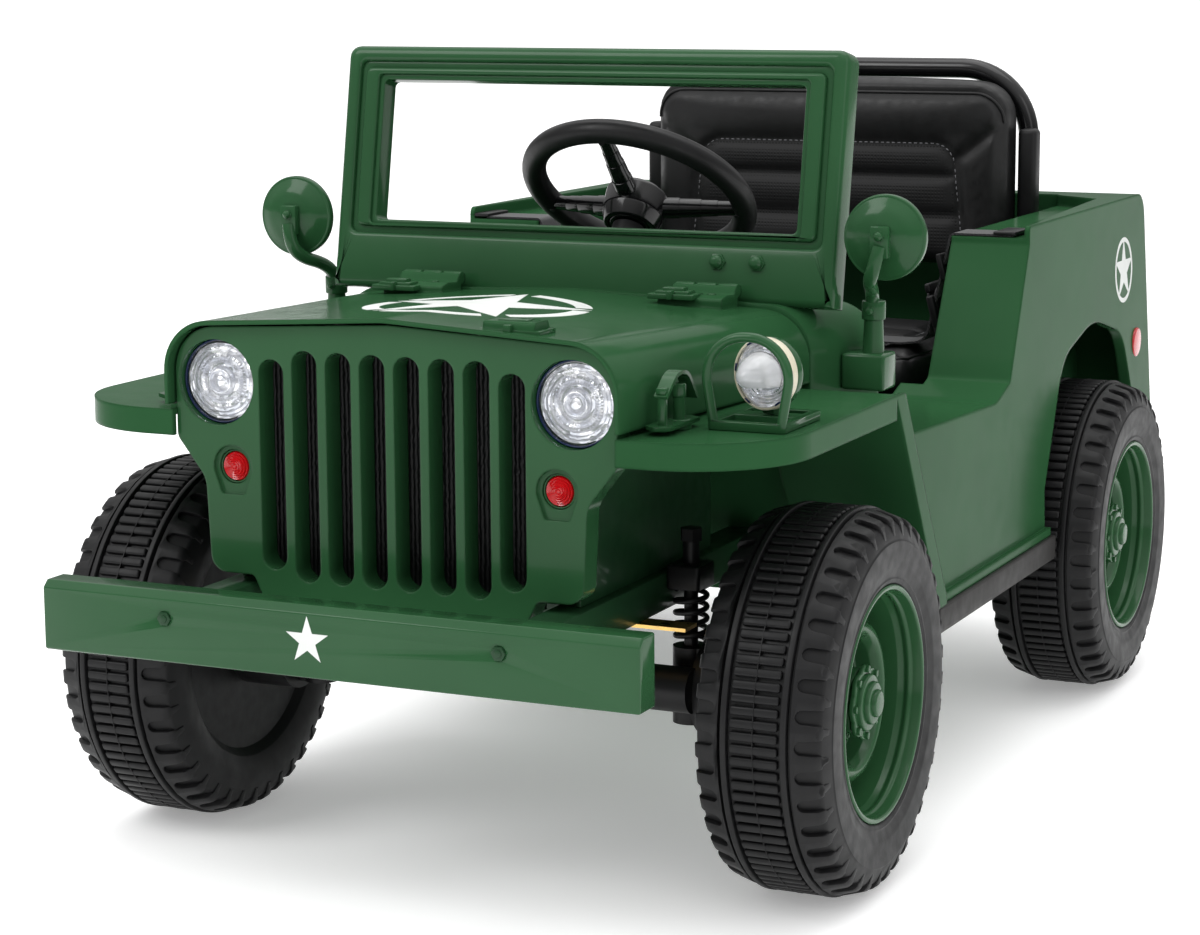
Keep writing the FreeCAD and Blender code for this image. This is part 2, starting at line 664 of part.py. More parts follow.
def make_bonnet():
    nose, end = ahead(size["bonnet_nose"]), behind(size["bonnet_tail"])
    wall, corner = size["bonnet_wall"], size["bonnet_corner"]
    rest = size["wing_height"] + size["seat_gap"]
    body = new_body("bonnet")
    loft(body, "AdditiveLoft", "bonnet_outside", "y", [
        (nose, bonnet_section(size["nose_width"], size["nose_crown"], size["nose_skirt"], corner, 0)),
        (end, bonnet_section(size["tail_width"], size["tail_crown"], rest, corner, 0))])
    inside = loft(body, "SubtractiveLoft", "bonnet_inside", "y", [
        (nose - 1, bonnet_section(size["nose_width"], size["nose_crown"], size["nose_skirt"] - 5,
                                  corner - wall, wall)),
        (end + 1, bonnet_section(size["tail_width"], size["tail_crown"], rest - 5, corner - wall, wall))])
    cuts.append(inside)
    catch, catch_half, catch_top = as_size(89), 19, size["nose_crown"] + 1
    pad(body, "bonnet_catch", "x", catch - catch_half, catch + catch_half,
        (nose + 8, catch_top - 8), (nose + 10, catch_top, 2), (nose + 28, catch_top, 2),
        (nose + 32, catch_top - 8))
    seam, hinge, hinge_half = size["tail_crown"], as_size(113), 25
    for side, hand in SIDES:
        pad(body, "hinge_leaf_" + side, "x",
            *between(hand * (hinge - hinge_half), hand * (hinge + hinge_half)),
            (end - 34, seam - 7), (end - 34, seam + 1, 2), (end - 24, seam + 3, 2), (end - 10, seam + 2),
            (end - 5, seam + 8, 3), (end + 4, seam + 8, 3.5), (end + 4, seam, 3.5), (end - 3, seam - 1),
            (end - 3, seam - 7))
    return keep(body, "bonnet")


make_bonnet()


# Grille panel: a moulded front with eight slots, lamp holes and a stepped chin
marker_height = size["lamp_height"] - size["marker_drop"]


def make_grille_panel():
    face = ahead(size["bonnet_nose"] - size["grille_set_back"])
    back = face + size["grille_depth"]
    inset = size["panel_inset"]
    half = size["nose_width"] / 2 - inset
    crown = size["nose_crown"] - inset
    foot, chin = size["grille_foot"], size["grille_chin"]
    body = new_body("grille_panel")
    pad(body, "panel", "y", face, back,
        (-half, 316, 10), (-half + 22, 288, 20), (-half + 25, foot, 12), (-108, foot, 5), (-97, chin),
        (97, chin), (108, foot, 5), (half - 25, foot, 12), (half - 22, 288, 20), (half, 316, 10),
        (half, crown - 10, size["bonnet_corner"] - inset), (0, crown - 1, 60),
        (-half, crown - 10, size["bonnet_corner"] - inset))
    pocket(body, "panel_back", "y", face + 5, back + 1,
           (-half + 30, foot + 8), (half - 30, foot + 8), (half - 30, 290), (half - 5, 318),
           (half - 5, crown - 40), (half - 40, crown - 14), (-half + 40, crown - 14),
           (-half + 5, crown - 40), (-half + 5, 318), (-half + 30, 290))
    low, high, trim = size["slot_low"], size["slot_high"], size["outer_slot_trim"]
    for index in range(8):
        shorter = trim if index in (0, 7) else 0
        extrude(body, "Pad", f"slot_wall_{index}", "y", face, back,
                lambda sketch: draw_slot(sketch, (index - 3.5) * size["slot_pitch"], low + shorter - 2.4,
                                         high - shorter + 2.4, size["slot_width"] + 4.8))
    for index in range(8):
        shorter = trim if index in (0, 7) else 0
        extrude(body, "Pocket", f"slot_{index}", "y", face - 1, back + 1,
                lambda sketch: draw_slot(sketch, (index - 3.5) * size["slot_pitch"], low + shorter,
                                         high - shorter, size["slot_width"]))
    lamps = [(size["lamp_spread"] / 2 * hand, size["lamp_height"]) for side, hand in SIDES]
    markers = [(size["marker_spread"] / 2 * hand, marker_height) for side, hand in SIDES]
    clear = size["lamp_rim"] + size["seat_gap"]
    holes = [(*spot, size["lamp_radius"] + clear) for spot in lamps]
    holes += [(*spot, size["marker_radius"] + clear) for spot in markers]
    cups = [(across, up, radius + size["lamp_cup"]) for across, up, radius in holes]
    boss(body, "lamp_cups", "y", face + 1, back, *cups)
    for (side, hand), (across, up) in zip(SIDES, markers):
        pocket(body, "marker_recess_" + side, "y", face - 1, face + 3,
               (across - 15, up - 2), (across - 9, up - 19, 3), (across + 9, up - 19, 3),
               (across + 15, up - 2), (across + 15, up + 15, 14.5), (across - 15, up + 15, 14.5))
    bore(body, "lamp_holes", "y", face - 1, back + 1, *holes)
    return keep(body, "grille_panel")


make_grille_panel()


def make_grille_mesh():
    back = ahead(size["bonnet_nose"] - size["grille_set_back"]) + size["grille_depth"]
    half = 4 * size["slot_pitch"]
    body = new_body("grille_mesh")
    pad(body, "mesh_plate", "y", back, back + 3,
        *block((-half, size["slot_low"] - 8), (half, size["slot_high"] + 6)))
    return keep(body, "grille_mesh")


make_grille_mesh()


# Lamps: a rim with a domed lens, set into the grille panel
def make_lamp(name, across, up, radius, face, depth):
    body = new_body(name)
    rim = size["lamp_rim"]
    spin(body, name + "_profile", [
        (0, 0), (0, radius + rim), (-depth + 2, radius + rim), (-depth, radius + rim - 1.5),
        (-depth + 1.5, radius), (-depth - radius / 6, radius / 2, radius), (-depth - radius / 4, 0)])
    turn(body, Vector(0, 0, 1), 90)
    place(body, across, face, up)
    return keep(body, name)


panel_face = ahead(size["bonnet_nose"] - size["grille_set_back"])
for side, hand in SIDES:
    make_lamp("headlamp_" + side, size["lamp_spread"] / 2 * hand, size["lamp_height"],
              size["lamp_radius"], panel_face + size["grille_depth"], size["grille_depth"] - 6)
    make_lamp("marker_lamp_" + side, size["marker_spread"] / 2 * hand, marker_height,
              size["marker_radius"], panel_face + size["grille_depth"], size["grille_depth"] - 5)


# Lamp on the left wing, turned slightly inwards, with a hooded lens and a guard hoop
def make_wing_lamp():
    radius, depth = size["wing_lamp_radius"], size["wing_lamp_depth"]
    body = new_body("wing_lamp")
    spin(body, "wing_lamp_profile", [
        (depth, 0), (depth, radius - 8), (depth - 5, radius + 1.5, 5), (0, radius + 1.5), (0, radius),
        (-radius / 6, radius / 2, radius), (-radius / 4, 0)])

    def hood(half):
        return [(-half, -7), (half, -7), (half, half - 5, half * 0.9), (-half, half - 5, half * 0.9)]
    loft(body, "AdditiveLoft", "wing_lamp_hood", "x", [(-25, hood(as_size(5))), (-2, hood(radius - 9))])
    foot = size["wing_lamp_height"] - size["wing_height"] - size["guard_foot"] - 2 * size["seat_gap"]
    boss(body, "wing_lamp_foot", "z", -foot, 4 - radius, (depth / 2, 0, 6))
    turn(body, Vector(0, 0, 1), 90 - size["wing_lamp_turn"])
    place(body, size["wing_lamp_spot"], ahead(size["wing_lamp_station"]), size["wing_lamp_height"])
    return keep(body, "wing_lamp")


make_wing_lamp()


def make_lamp_guard():
    low, tube = size["wing_height"] + size["seat_gap"], size["guard_tube"]
    spot, lamp_face = size["wing_lamp_spot"], ahead(size["wing_lamp_station"])
    high, hoop = low + size["guard_foot"], ahead(size["guard_station"])
    half, bar = as_size(27), 2 * tube
    front, rear = hoop - tube, lamp_face + 38
    step_front, step_rear = lamp_face, lamp_face + size["wing_lamp_depth"]
    body = new_body("lamp_guard")
    pad(body, "guard_frame", "z", low, high, *block((spot - half, front), (spot + half, rear), 3))
    for name, start, end in (("front", front + bar, step_front), ("rear", step_rear, rear - bar)):
        pocket(body, "guard_frame_hole_" + name, "z", low - 1, high + 1,
               *block((spot - half + bar, start), (spot + half - bar, end)))
    foot, bow, top = half - tube, half + 6.5, size["guard_top"] - tube
    line = new_sketch(body, "guard_line", "y", hoop)
    draw_outline(line, [(spot - foot, low + tube), (spot - bow, top, 27), (spot + bow, top, 27),
                        (spot + foot, low + tube)], closed=False)
    ring = new_sketch(body, "guard_ring", "z", low + tube)
    draw_circle(ring, spot - foot, hoop, tube)
    pipe = body.newObject("PartDesign::AdditivePipe", "guard_hoop")
    pipe.Profile = ring
    pipe.Spine = (line, [])
    body.Tip = pipe
    return keep(body, "lamp_guard")


make_lamp_guard()


# Bonnet latches: two posts on a base plate with a curved hook over them
def make_latch(side, hand):
    across, station = size["latch_spread"] / 2 * hand, ahead(size["latch_station"])
    low, tall = size["wing_height"] + size["seat_gap"], size["latch_post"]
    front = station - 27
    body = new_body("latch_" + side)
    pad(body, "latch_plate_" + side, "z", low, low + 3,
        *block((across - 7, front - 7), (across + 7, station + 12), 5))
    boss(body, "latch_disc_" + side, "z", low, low + 6, (across, station, 8))
    boss(body, "latch_round_post_" + side, "z", low, low + tall, (across, station, 4))
    pad(body, "latch_square_post_" + side, "z", low, low + tall,
        *block((across - 2.5, front - 2.5), (across + 2.5, front + 2.5)))
    hook, middle = low + tall, (front + station) / 2 + 4
    pad(body, "latch_hook_" + side, "x", across - 4.5, across + 4.5,
        (front - 5, hook - 6), (middle, hook + 14, 24), (station + 20, hook - 10),
        (station + 18, hook - 12), (middle, hook + 8, 22), (front - 2, hook - 7))
    return body


keep_group([make_latch(side, hand) for side, hand in SIDES], "bonnet_latches")


# Front frame: two rails with cross members between grille and footwell
def make_frame():
    spread, width = size["rail_spread"] / 2, size["rail_width"] / 2
    low, high = size["rail_low"], size["rail_high"]
    nose = ahead(size["front_overhang"]) + size["bumper_depth"]
    end_low, end_high = leg_rear(low) - 2 * size["seat_gap"], leg_rear(high) - 2 * size["seat_gap"]
    body = new_body("front_frame")
    for side, hand in SIDES:
        pad(body, "rail_" + side, "x", *between((spread - width) * hand, (spread + width) * hand),
            (nose, low), (end_low, low), (end_high, high), (nose + 34, high), (nose, high - 6))
    for index, station in enumerate((ahead(118), ahead(24), behind(112))):
        pad(body, f"cross_member_{index}", "z", low + 3, high - 3,
            *block((-spread, station), (spread, station + 30)))
    return keep(body, "front_frame")


make_frame()


# Engine bay sides: panels that stand on the rails and reach out under the wings
def make_bay_side(side, hand):
    inner, wall, gap = size["rail_spread"] / 2 + 2, size["wing_wall"], size["seat_gap"]
    low, high = size["rail_high"] + gap, size["wing_height"] - wall - gap
    start, end = panel_face + size["grille_depth"] + gap, behind(size["leg_head"]) - 4
    body = new_body("bay_side_" + side)
    pad(body, "bay_panel_" + side, "x", *between(inner * hand, (inner + wall) * hand),
        *block((start, low), (end, high)))
    near, far = between(inner * hand, (size["nose_width"] / 2 + 8) * hand)
    pad(body, "bay_flange_" + side, "z", high - 3, high, *block((near, start), (far, end)))
    return body


keep_group([make_bay_side(side, hand) for side, hand in SIDES], "engine_bay_sides")


# Bumper: a folded channel, open to the rear, with two bolt holes
def make_bumper():
    face = ahead(size["front_overhang"])
    half, low, high = size["bumper_width"] / 2, size["bumper_low"], size["bumper_high"]
    depth, wall = size["bumper_depth"], size["bumper_wall"]
    body = new_body("front_bumper")
    pad(body, "bumper_solid", "x", -half, half,
        (face, low, 2), (face + depth, low), (face + depth, high), (face + 5, high, 2), (face, high - 5, 2))
    pocket(body, "bumper_channel", "x", -half + wall, half - wall,
           *block((face + wall, low + wall), (face + depth + 1, high - wall)))
    bolt = size["bumper_bolt_radius"]
    middle = (low + high) / 2
    boss(body, "bumper_pads", "y", face + wall - 1, face + depth,
         *((size["bumper_bolt_spread"] / 2 * hand, middle + 6, bolt + 7) for side, hand in SIDES))
    bore(body, "bumper_bolt_holes", "y", face - 1, face + depth + 1,
         *((size["bumper_bolt_spread"] / 2 * hand, middle + 6, bolt) for side, hand in SIDES))
    return keep(body, "front_bumper")


make_bumper()


# Sills: the black steps along the tub
def make_sill(side, hand):
    inner, outer = size["tub_low_width"] / 2 - 40, size["wing_width"] / 2
    start, end = behind(size["leg_foot"]) + 2, rear_axle_station - size["arch_half"] + 6
    top = size["sill_height"] - size["seat_gap"]
    body = new_body("sill_" + side)
    pad(body, "sill_bar_" + side, "x", *between(inner * hand, outer * hand),
        (start, top - 20, 6), (end, top - 20, 4), (end, top), (start, top))
    return keep(body, "sill_" + side)


for side, hand in SIDES:
    make_sill(side, hand)


# Steering column: the fixed housing that passes the cowl's and the dash's rear edge
COLUMN_WALL, COLUMN_LENGTH, COLUMN_DROP = 4, 122, 155


def lean_on_column(item, down):
    """Sets an upright item on the column's axis, its base this far below the wheel."""
    turn(item, Vector(1, 0, 0), -size["column_lean"])
    place(item, 0, behind(size["hand_wheel_station"]) - down * sine(size["column_lean"]),
          size["hand_wheel_height"] - down * cosine(size["column_lean"]))


def clear_column(item, name):
    """Cuts the way of the column's housing through a piece."""
    way = new_rod(name + "_column_way", size["column_radius"] + COLUMN_WALL + size["seat_gap"], 150)
    lean_on_column(way, COLUMN_DROP + 35)
    return new_cut(name + "_cut", item, way)


def make_column():
    tube = new_rod("column_tube", size["column_radius"] + COLUMN_WALL, COLUMN_LENGTH)
    lean_on_column(tube, COLUMN_DROP)
    hole = new_rod("column_bore", size["stub_radius"] + size["running_gap"], 60)
    lean_on_column(hole, 80)
    return keep(new_cut("column_housing", tube, hole), "steering_column")


make_column()


# Cowl: the crowned shell between bonnet and dash, open below
def cowl_section(station, inset, rise=0):
    half = cowl_half(station) - inset
    crown = along_cowl(station, size["tail_crown"], size["tail_crown"] - 4) - inset
    low = size["cowl_skirt"] - inset + rise
    return (station, [(-half, low), (half, low),
                      (half, crown - 6, size["bonnet_corner"]), (0, crown, 60),
                      (-half, crown - 6, size["bonnet_corner"])])


def make_cowl():
    start, end = behind(size["bonnet_tail"]) + size["seat_gap"], behind(size["dash_station"])
    wall = size["cowl_wall"]
    body = new_body("cowl_shell")
    loft(body, "AdditiveLoft", "cowl_outside", "y", [cowl_section(start, 0), cowl_section(end, 0)])
    inside = loft(body, "SubtractiveLoft", "cowl_inside", "y",
                  [cowl_section(start + wall, wall), cowl_section(end + 1, wall)])
    cuts.append(inside)
    return keep(clear_column(body, "cowl"), "cowl")


make_cowl()


def make_dash():
    face = behind(size["dash_station"])
    inset, rise = size["cowl_wall"] + size["seat_gap"], 20
    body = new_body("dash_plate")
    loft(body, "AdditiveLoft", "dash_board", "y",
         [cowl_section(face - 8, inset, rise), cowl_section(face - 2, inset, rise)])
    return keep(clear_column(body, "dashboard"), "dashboard")


make_dash()


# Windscreen: a raked frame with a plain lower panel, a grooved border and a stepped opening
def make_windscreen():
    half, tall = size["screen_width"] / 2, size["screen_tall"]
    step, depth = size["sight_step"], size["screen_depth"]
    sight = half - size["screen_side"]
    low, high = size["screen_panel"], tall - size["screen_header"]
    edge = size["screen_border"]
    ring = edge + size["screen_groove"]
    body = new_body("screen_body")
    pad(body, "screen_solid", "y", 0, depth, (-half, 0), (half, 0), (half, tall, 9), (-half, tall, 9))

    def groove(sketch):
        drop, inside = low - 2.6 * step, low - 2.6 * step + size["screen_groove"]
        draw_outline(sketch, block((-half + edge, drop), (half - edge, tall - edge), 6))
        draw_outline(sketch, block((-half + ring, inside), (half - ring, tall - ring), 4))
    extrude(body, "Pocket", "screen_ring_groove", "y", -1, 4, groove)
    pocket(body, "screen_step", "y", -1, 3,
           *block((-sight - step, low - step), (sight + step, high + step), 4))
    pocket(body, "screen_opening", "y", -1, depth + 1, *block((-sight, low), (sight, high), 4))
    turn(body, Vector(1, 0, 0), -size["screen_lean"])
    place(body, 0, behind(size["screen_foot"]), size["screen_foot_height"])
    cowl_space = new_body("cowl_space")
    loft(cowl_space, "AdditiveLoft", "cowl_space_loft", "y",
         [cowl_section(behind(size["bonnet_tail"]), -size["seat_gap"]),
          cowl_section(behind(size["dash_station"]), -size["seat_gap"])])
    return keep(new_cut("windscreen_on_cowl", body, cowl_space), "windscreen_frame")


make_windscreen()


# Mirrors: a round head on a bent stalk from a block on the cowl's side
def make_mirror(side, hand):
    across, station = size["mirror_spread"] / 2 * hand, behind(size["mirror_station"])
    up, radius = size["mirror_height"], size["mirror_radius"]
    base_low = size["cowl_skirt"] + 27
    base_across = across - 18 * hand
    outer = base_across + 13 * hand
    stalk = station + 27
    front, rear = stalk - 14, stalk + 14
    body = new_body("mirror_" + side)
    pad(body, "mirror_block_" + side, "z", base_low, base_low + 27,
        ((cowl_half(front) + size["seat_gap"]) * hand, front), (outer, front, 3), (outer, rear, 3),
        ((cowl_half(rear) + size["seat_gap"]) * hand, rear))
    loft(body, "AdditiveLoft", "mirror_stalk_" + side, "z", [
        (base_low + 26, (base_across, stalk, 6)),
        (base_low + 62, (base_across, stalk - 2, 6))])
    loft(body, "AdditiveLoft", "mirror_arm_" + side, "z", [
        (base_low + 61, (base_across, stalk - 2, 5)),
        (up + 8, (across, station - 7, 5))])
    boss(body, "mirror_head_" + side, "y", station - 5, station + 3, (across, up, radius))
    loft(body, "AdditiveLoft", "mirror_dome_" + side, "y", [
        (station - 5, (across, up, radius - 1)),
        (station - 11, (across, up, radius - 14))])
    return keep(body, "mirror_" + side)


for side, hand in SIDES:
    make_mirror(side, hand)


# Steering wheel: a ring on three spokes whose shaft runs in the column's housing.
# It is built flat round the upright axis, then leaned over with the column.
def make_steering_wheel():
    ring = doc.addObject("Part::Torus", "hand_ring")
    bind(ring, "Radius1", size["hand_wheel_radius"])
    bind(ring, "Radius2", size["hand_wheel_tube"])
    drop = 24
    hub = new_rod("hand_hub", 25, 26)
    place(hub, 0, 0, -drop - 8)
    cap = doc.addObject("Part::Cone", "hand_cap")
    for name, value in (("Radius1", 25), ("Radius2", 18), ("Height", 7)):
        bind(cap, name, value)
    place(cap, 0, 0, 18 - drop)
    shaft = new_rod("hand_shaft", size["stub_radius"], 40)
    place(shaft, 0, 0, -drop - 40)
    spokes = []
    for index, heading in enumerate((-90, 12, 168)):
        spoke = new_rod(f"hand_spoke_{index}", 6.5, size["hand_wheel_radius"] - 8)
        rise = math.degrees(math.atan2(14, size["hand_wheel_radius"].number))
        lean = FreeCAD.Rotation(Vector(0, 1, 0), 90 - rise)
        spoke.Placement = FreeCAD.Placement(Vector(), FreeCAD.Rotation(Vector(0, 0, 1), heading) * lean)
        place(spoke, 8 * math.cos(math.radians(heading)), 8 * math.sin(math.radians(heading)), -15)
        spokes.append(spoke)
    wheel = new_join("steering_wheel_join", ring, hub, cap, shaft, *spokes)
    wheel.Refine = False
    turn(wheel, Vector(1, 0, 0), -size["column_lean"])
    place(wheel, 0, behind(size["hand_wheel_station"]), size["hand_wheel_height"])
    return keep(wheel, "steering_wheel")


make_steering_wheel()


# Front running gear: king pin blocks on the rails, knuckles, springs and the tie rod
PIN_BLOCK_HEIGHT = 17
pin_block_low = size["rail_low"] + 15


def make_pin_blocks():
    spread, rail = size["king_pin_spread"] / 2, size["rail_spread"] / 2 + size["rail_width"] / 2
    low = pin_block_low
    solids = []
    for side, hand in SIDES:
        item = new_body("pin_block_" + side)
        inner, outer = between(rail * hand, (spread + 12) * hand)
        pad(item, "pin_block_solid_" + side, "z", low, low + PIN_BLOCK_HEIGHT,
            *block((inner, front_axle - 15), (outer, front_axle + 15), 3))
        bore(item, "pin_block_bore_" + side, "z", low - 1, low + PIN_BLOCK_HEIGHT + 1,
             (spread * hand, front_axle, size["king_pin_radius"] + size["running_gap"]))
        solids.append(item)
    return keep_group(solids, "king_pin_blocks")


make_pin_blocks()


def make_knuckle(side, hand):
    spread, radius = size["king_pin_spread"] / 2, size["king_pin_radius"]
    block_top = pin_block_low + PIN_BLOCK_HEIGHT
    low = axle_height - 27
    body = new_body("knuckle_" + side)
    boss(body, "knuckle_barrel_" + side, "z", low, axle_height + 28, (spread * hand, front_axle, 13))
    boss(body, "king_pin_" + side, "z", axle_height + 20, block_top + 2,
         (spread * hand, front_axle, radius))
    sleeve_top, bolt = block_top + 17, radius + 3
    boss(body, "king_pin_sleeve_" + side, "z", block_top + 0.4, sleeve_top,
         (spread * hand, front_axle, radius + 1))
    pad(body, "king_pin_bolt_" + side, "z", sleeve_top - 1, sleeve_top + 8,
        *((spread * hand + bolt * math.cos(math.radians(60 * corner)),
           front_axle + bolt * math.sin(math.radians(60 * corner))) for corner in range(6)))
    reach = (half_track + 12) * hand
    boss(body, "stub_axle_" + side, "x", *between(spread * hand, reach),
         (front_axle, axle_height, size["stub_radius"]))
    housing = between((spread + 14) * hand, (half_track - half_tyre + 5) * hand)
    boss(body, "drive_housing_" + side, "x", *housing, (front_axle - 4, axle_height, 33))
    motor = between((spread - 34) * hand, (spread + 16) * hand)
    boss(body, "drive_motor_" + side, "x", *motor, (front_axle - 33, axle_height + 4, 16))
    pad(body, "knuckle_web_" + side, "x", *between((spread + 8) * hand, (spread + 15) * hand),
        *block((front_axle - 10, low), (front_axle + 10, axle_height + 28)))
    arm = front_axle + 56
    pad(body, "steering_arm_" + side, "z", low, low + 8,
        *block((spread * hand - 8, front_axle), (spread * hand + 8, arm + 8), 7))
    boss(body, "arm_pin_" + side, "z", low + 7, low + 22, (spread * hand, arm, 4))
    return keep(body, "knuckle_" + side)


for side, hand in SIDES:
    make_knuckle(side, hand)


def make_spring(side, hand):
    low, high = axle_height + 28 + size["seat_gap"], pin_block_low - size["seat_gap"]
    spread = size["king_pin_spread"] / 2
    helix = doc.addObject("Part::Helix", "spring_line_" + side)
    turns = 4.5
    bind(helix, "Pitch", (high - low - 4.4) / turns)
    bind(helix, "Height", high - low - 4.4)
    bind(helix, "Radius", 11)
    place(helix, spread * hand, front_axle, low + 2.2)
    wire = doc.addObject("Part::Circle", "spring_wire_" + side)
    bind(wire, "Radius", 2)
    turn(wire, Vector(1, 0, 0), 90)
    place(wire, spread * hand + 11, front_axle, low + 2.2)
    spring = doc.addObject("Part::Sweep", "spring_sweep_" + side)
    spring.Sections, spring.Spine = [wire], (helix, [])
    spring.Solid, spring.Frenet = True, True
    return keep(spring, "front_spring_" + side)


for side, hand in SIDES:
    make_spring(side, hand)


def make_axle_strips():
    """Flat steel strips under the rails, just ahead of the springs."""
    inner, outer = size["rail_spread"] / 2 - 4, size["king_pin_spread"] / 2 + 22
    top, strips = size["rail_low"] - size["seat_gap"], []
    for side, hand in SIDES:
        low, high = between(inner * hand, outer * hand)
        strips.append(new_box("axle_strip_" + side, (low, front_axle - 62, top - 2.5),
                              (high, front_axle - 42, top)))
    return keep_group(strips, "axle_strips")


make_axle_strips()


def make_tie_rod():
    spread, arm = size["king_pin_spread"] / 2, front_axle + 56
    low = axle_height - 27 + 8.4
    body = new_body("tie_rod")
    pad(body, "tie_bar", "z", low, low + 9, *block((-spread - 8, arm - 7), (spread + 8, arm + 7), 6))
    bore(body, "tie_eyes", "z", low - 1, low + 10, *((spread * hand, arm, 4.3) for side, hand in SIDES))
    return keep(body, "tie_rod")


make_tie_rod()


# Rear running gear: one shaft in two hangers under the tub, with a drive at each wheel
def make_rear_axle():
    reach = half_track + 12
    body = new_body("rear_axle")
    boss(body, "rear_shaft", "x", -reach, reach, (rear_axle_station, axle_height, size["stub_radius"]))
    top, inner = size["tail_height"] - size["seat_gap"], size["hanger_spread"] / 2
    for side, hand in SIDES:
        pad(body, "axle_hanger_" + side, "x", *between(inner * hand, (inner + 8) * hand),
            (rear_axle_station - 12, axle_height - 14, 8), (rear_axle_station + 12, axle_height - 14, 8),
            (rear_axle_station + 34, top), (rear_axle_station - 34, top))
        housing = between((inner + 8) * hand, (half_track - half_tyre + 5) * hand)
        boss(body, "rear_drive_" + side, "x", *housing, (rear_axle_station, axle_height, 33))
        motor = between((inner - 44) * hand, (inner + 10) * hand)
        boss(body, "rear_motor_" + side, "x", *motor, (rear_axle_station - 32, axle_height + 4, 16))
    return keep(body, "rear_axle")


make_rear_axle()


def make_pedal():
    low = size["sill_height"] + size["tub_wall"] + size["seat_gap"]
    toe, right, left = behind(size["leg_foot"]) + 22, -78, -26
    body = new_body("pedal")
    pad(body, "pedal_wedge", "x", right, left, (toe, low), (toe + 46, low), (toe + 46, low + 4),
        (toe, low + 46, 3), (toe - 5, low + 43, 2))
    return keep(body, "foot_pedal")


make_pedal()


# Seat: a moulded base between the wheel boxes, a cushion on it and a back cushion
def make_seat_base():
    half = size["box_gap"] / 2 - 1
    front, back = behind(size["seat_front"]), behind(size["back_station"]) + 12
    low = size["sill_height"] + size["tub_wall"] + size["seat_gap"]
    high = size["seat_height"] - size["cushion_thick"]
    step = rear_axle_station - size["arch_half"] + 20 - size["tub_wall"] - 1
    shelf = size["tail_height"] + size["tub_wall"] + size["seat_gap"]
    body = new_body("seat_base")
    pad(body, "seat_box", "x", -half, half,
        (front + 12, low), (step, low), (step, shelf), (back, shelf), (back, high), (front, high),
        (front, high - 30))
    pocket(body, "seat_box_hollow", "x", -half + 4, half - 4,
           (front + 16, low - 1), (step - 4, low - 1), (step - 4, shelf - 1), (back - 4, shelf - 1),
           (back - 4, high - 4), (front + 4, high - 4), (front + 4, high - 29))
    return keep(body, "seat_base")


make_seat_base()


def make_battery():
    low = size["sill_height"] + size["tub_wall"] + size["seat_gap"]
    high = size["seat_height"] - size["cushion_thick"] - size["battery_drop"]
    front, half, along = behind(size["seat_front"]) + 24, 75, 65
    return keep(new_box("battery_box", (-half, front, low), (half, front + along, high)), "battery")


make_battery()


def make_cushion():
    half = size["seat_width"] / 2
    front, back = behind(size["seat_front"]) - 4, behind(size["back_station"]) - 3
    low, high = size["seat_height"] - size["cushion_thick"] + size["seat_gap"], size["seat_height"]
    body = new_body("seat_cushion")
    pad(body, "cushion_solid", "x", -half, half,
        (front, low, 6), (back, low, 6), (back, high, 10), (front, high, 14))
    return keep(body, "seat_cushion")


make_cushion()


def make_back():
    half = size["seat_width"] / 2 + 2
    face = behind(size["back_station"])
    low, high = size["back_low"], size["back_high"]
    body = new_body("seat_back")
    pad(body, "back_solid", "y", face, behind(size["bar_station"]) - size["bar_radius"] - size["seat_gap"],
        (-half, low, 20), (half, low, 20), (half, high, 34), (-half, high, 34))
    return keep(body, "seat_back")


make_back()


# Roll bar: one bent tube whose feet stand on the floor behind the seat
def make_roll_bar():
    foot = size["tail_height"] + size["tub_wall"] + size["seat_gap"]
    half, station = size["bar_spread"] / 2 - 4, behind(size["bar_station"])
    top = size["bar_top"] - size["bar_radius"]
    body = new_body("roll_bar")
    line = new_sketch(body, "bar_line", "y", station)
    bend = size["bar_bend"]
    draw_outline(line, [(-half, foot), (-half, top, bend), (half, top, bend), (half, foot)], closed=False)
    ring = new_sketch(body, "bar_ring", "z", foot)
    draw_circle(ring, -half, station, size["bar_radius"])
    tube = body.newObject("PartDesign::AdditivePipe", "bar_tube")
    tube.Profile = ring
    tube.Spine = (line, [])
    body.Tip = tube
    return keep(body, "roll_bar")


make_roll_bar()


# Seat belt: a lap strap from one post to the other
def make_belt():
    width, strap = 30, 2
    start = behind(size["post_head"]) + 8
    rest = size["seat_height"] + size["seat_gap"]
    edge, box_edge = size["tub_top_width"] / 2 - 12, size["box_gap"] / 2 - 4
    peak = size["ledge_height"] + size["seat_gap"]
    hip = size["seat_width"] / 2 - 6
    body = new_body("seat_belt")
    pad(body, "belt_strap", "y", start, start + width,
        (-edge, peak), (-box_edge, peak), (-hip, rest), (hip, rest), (box_edge, peak), (edge, peak),
        (edge, peak + strap), (box_edge - 1, peak + strap), (hip - 2, rest + strap),
        (-hip + 2, rest + strap), (-box_edge + 1, peak + strap), (-edge, peak + strap))
    return keep(body, "seat_belt")


make_belt()


def check_and_write():
    doc.recompute()
    for item in doc.Objects:
        if "Invalid" in item.State or "Error" in item.State:
            raise RuntimeError(f"{item.Name} failed: {item.State}")
    for cut in cuts:
        if cut.Shape.Volume > cut.BaseFeature.Shape.Volume - 1:
            raise RuntimeError(f"{cut.Name} removes nothing")
    os.makedirs("parts", exist_ok=True)
    for node in nodes:
        if node.Shape.isNull() or not node.Shape.isValid():
            raise RuntimeError(f"{node.Label} has no valid shape")
        node.Shape.exportStep(f"parts/{node.Label}.step")
        print(f"{node.Label}: {len(node.Shape.Solids)} solid(s), {node.Shape.Volume / 1000:.0f} cm3")


check_and_write()
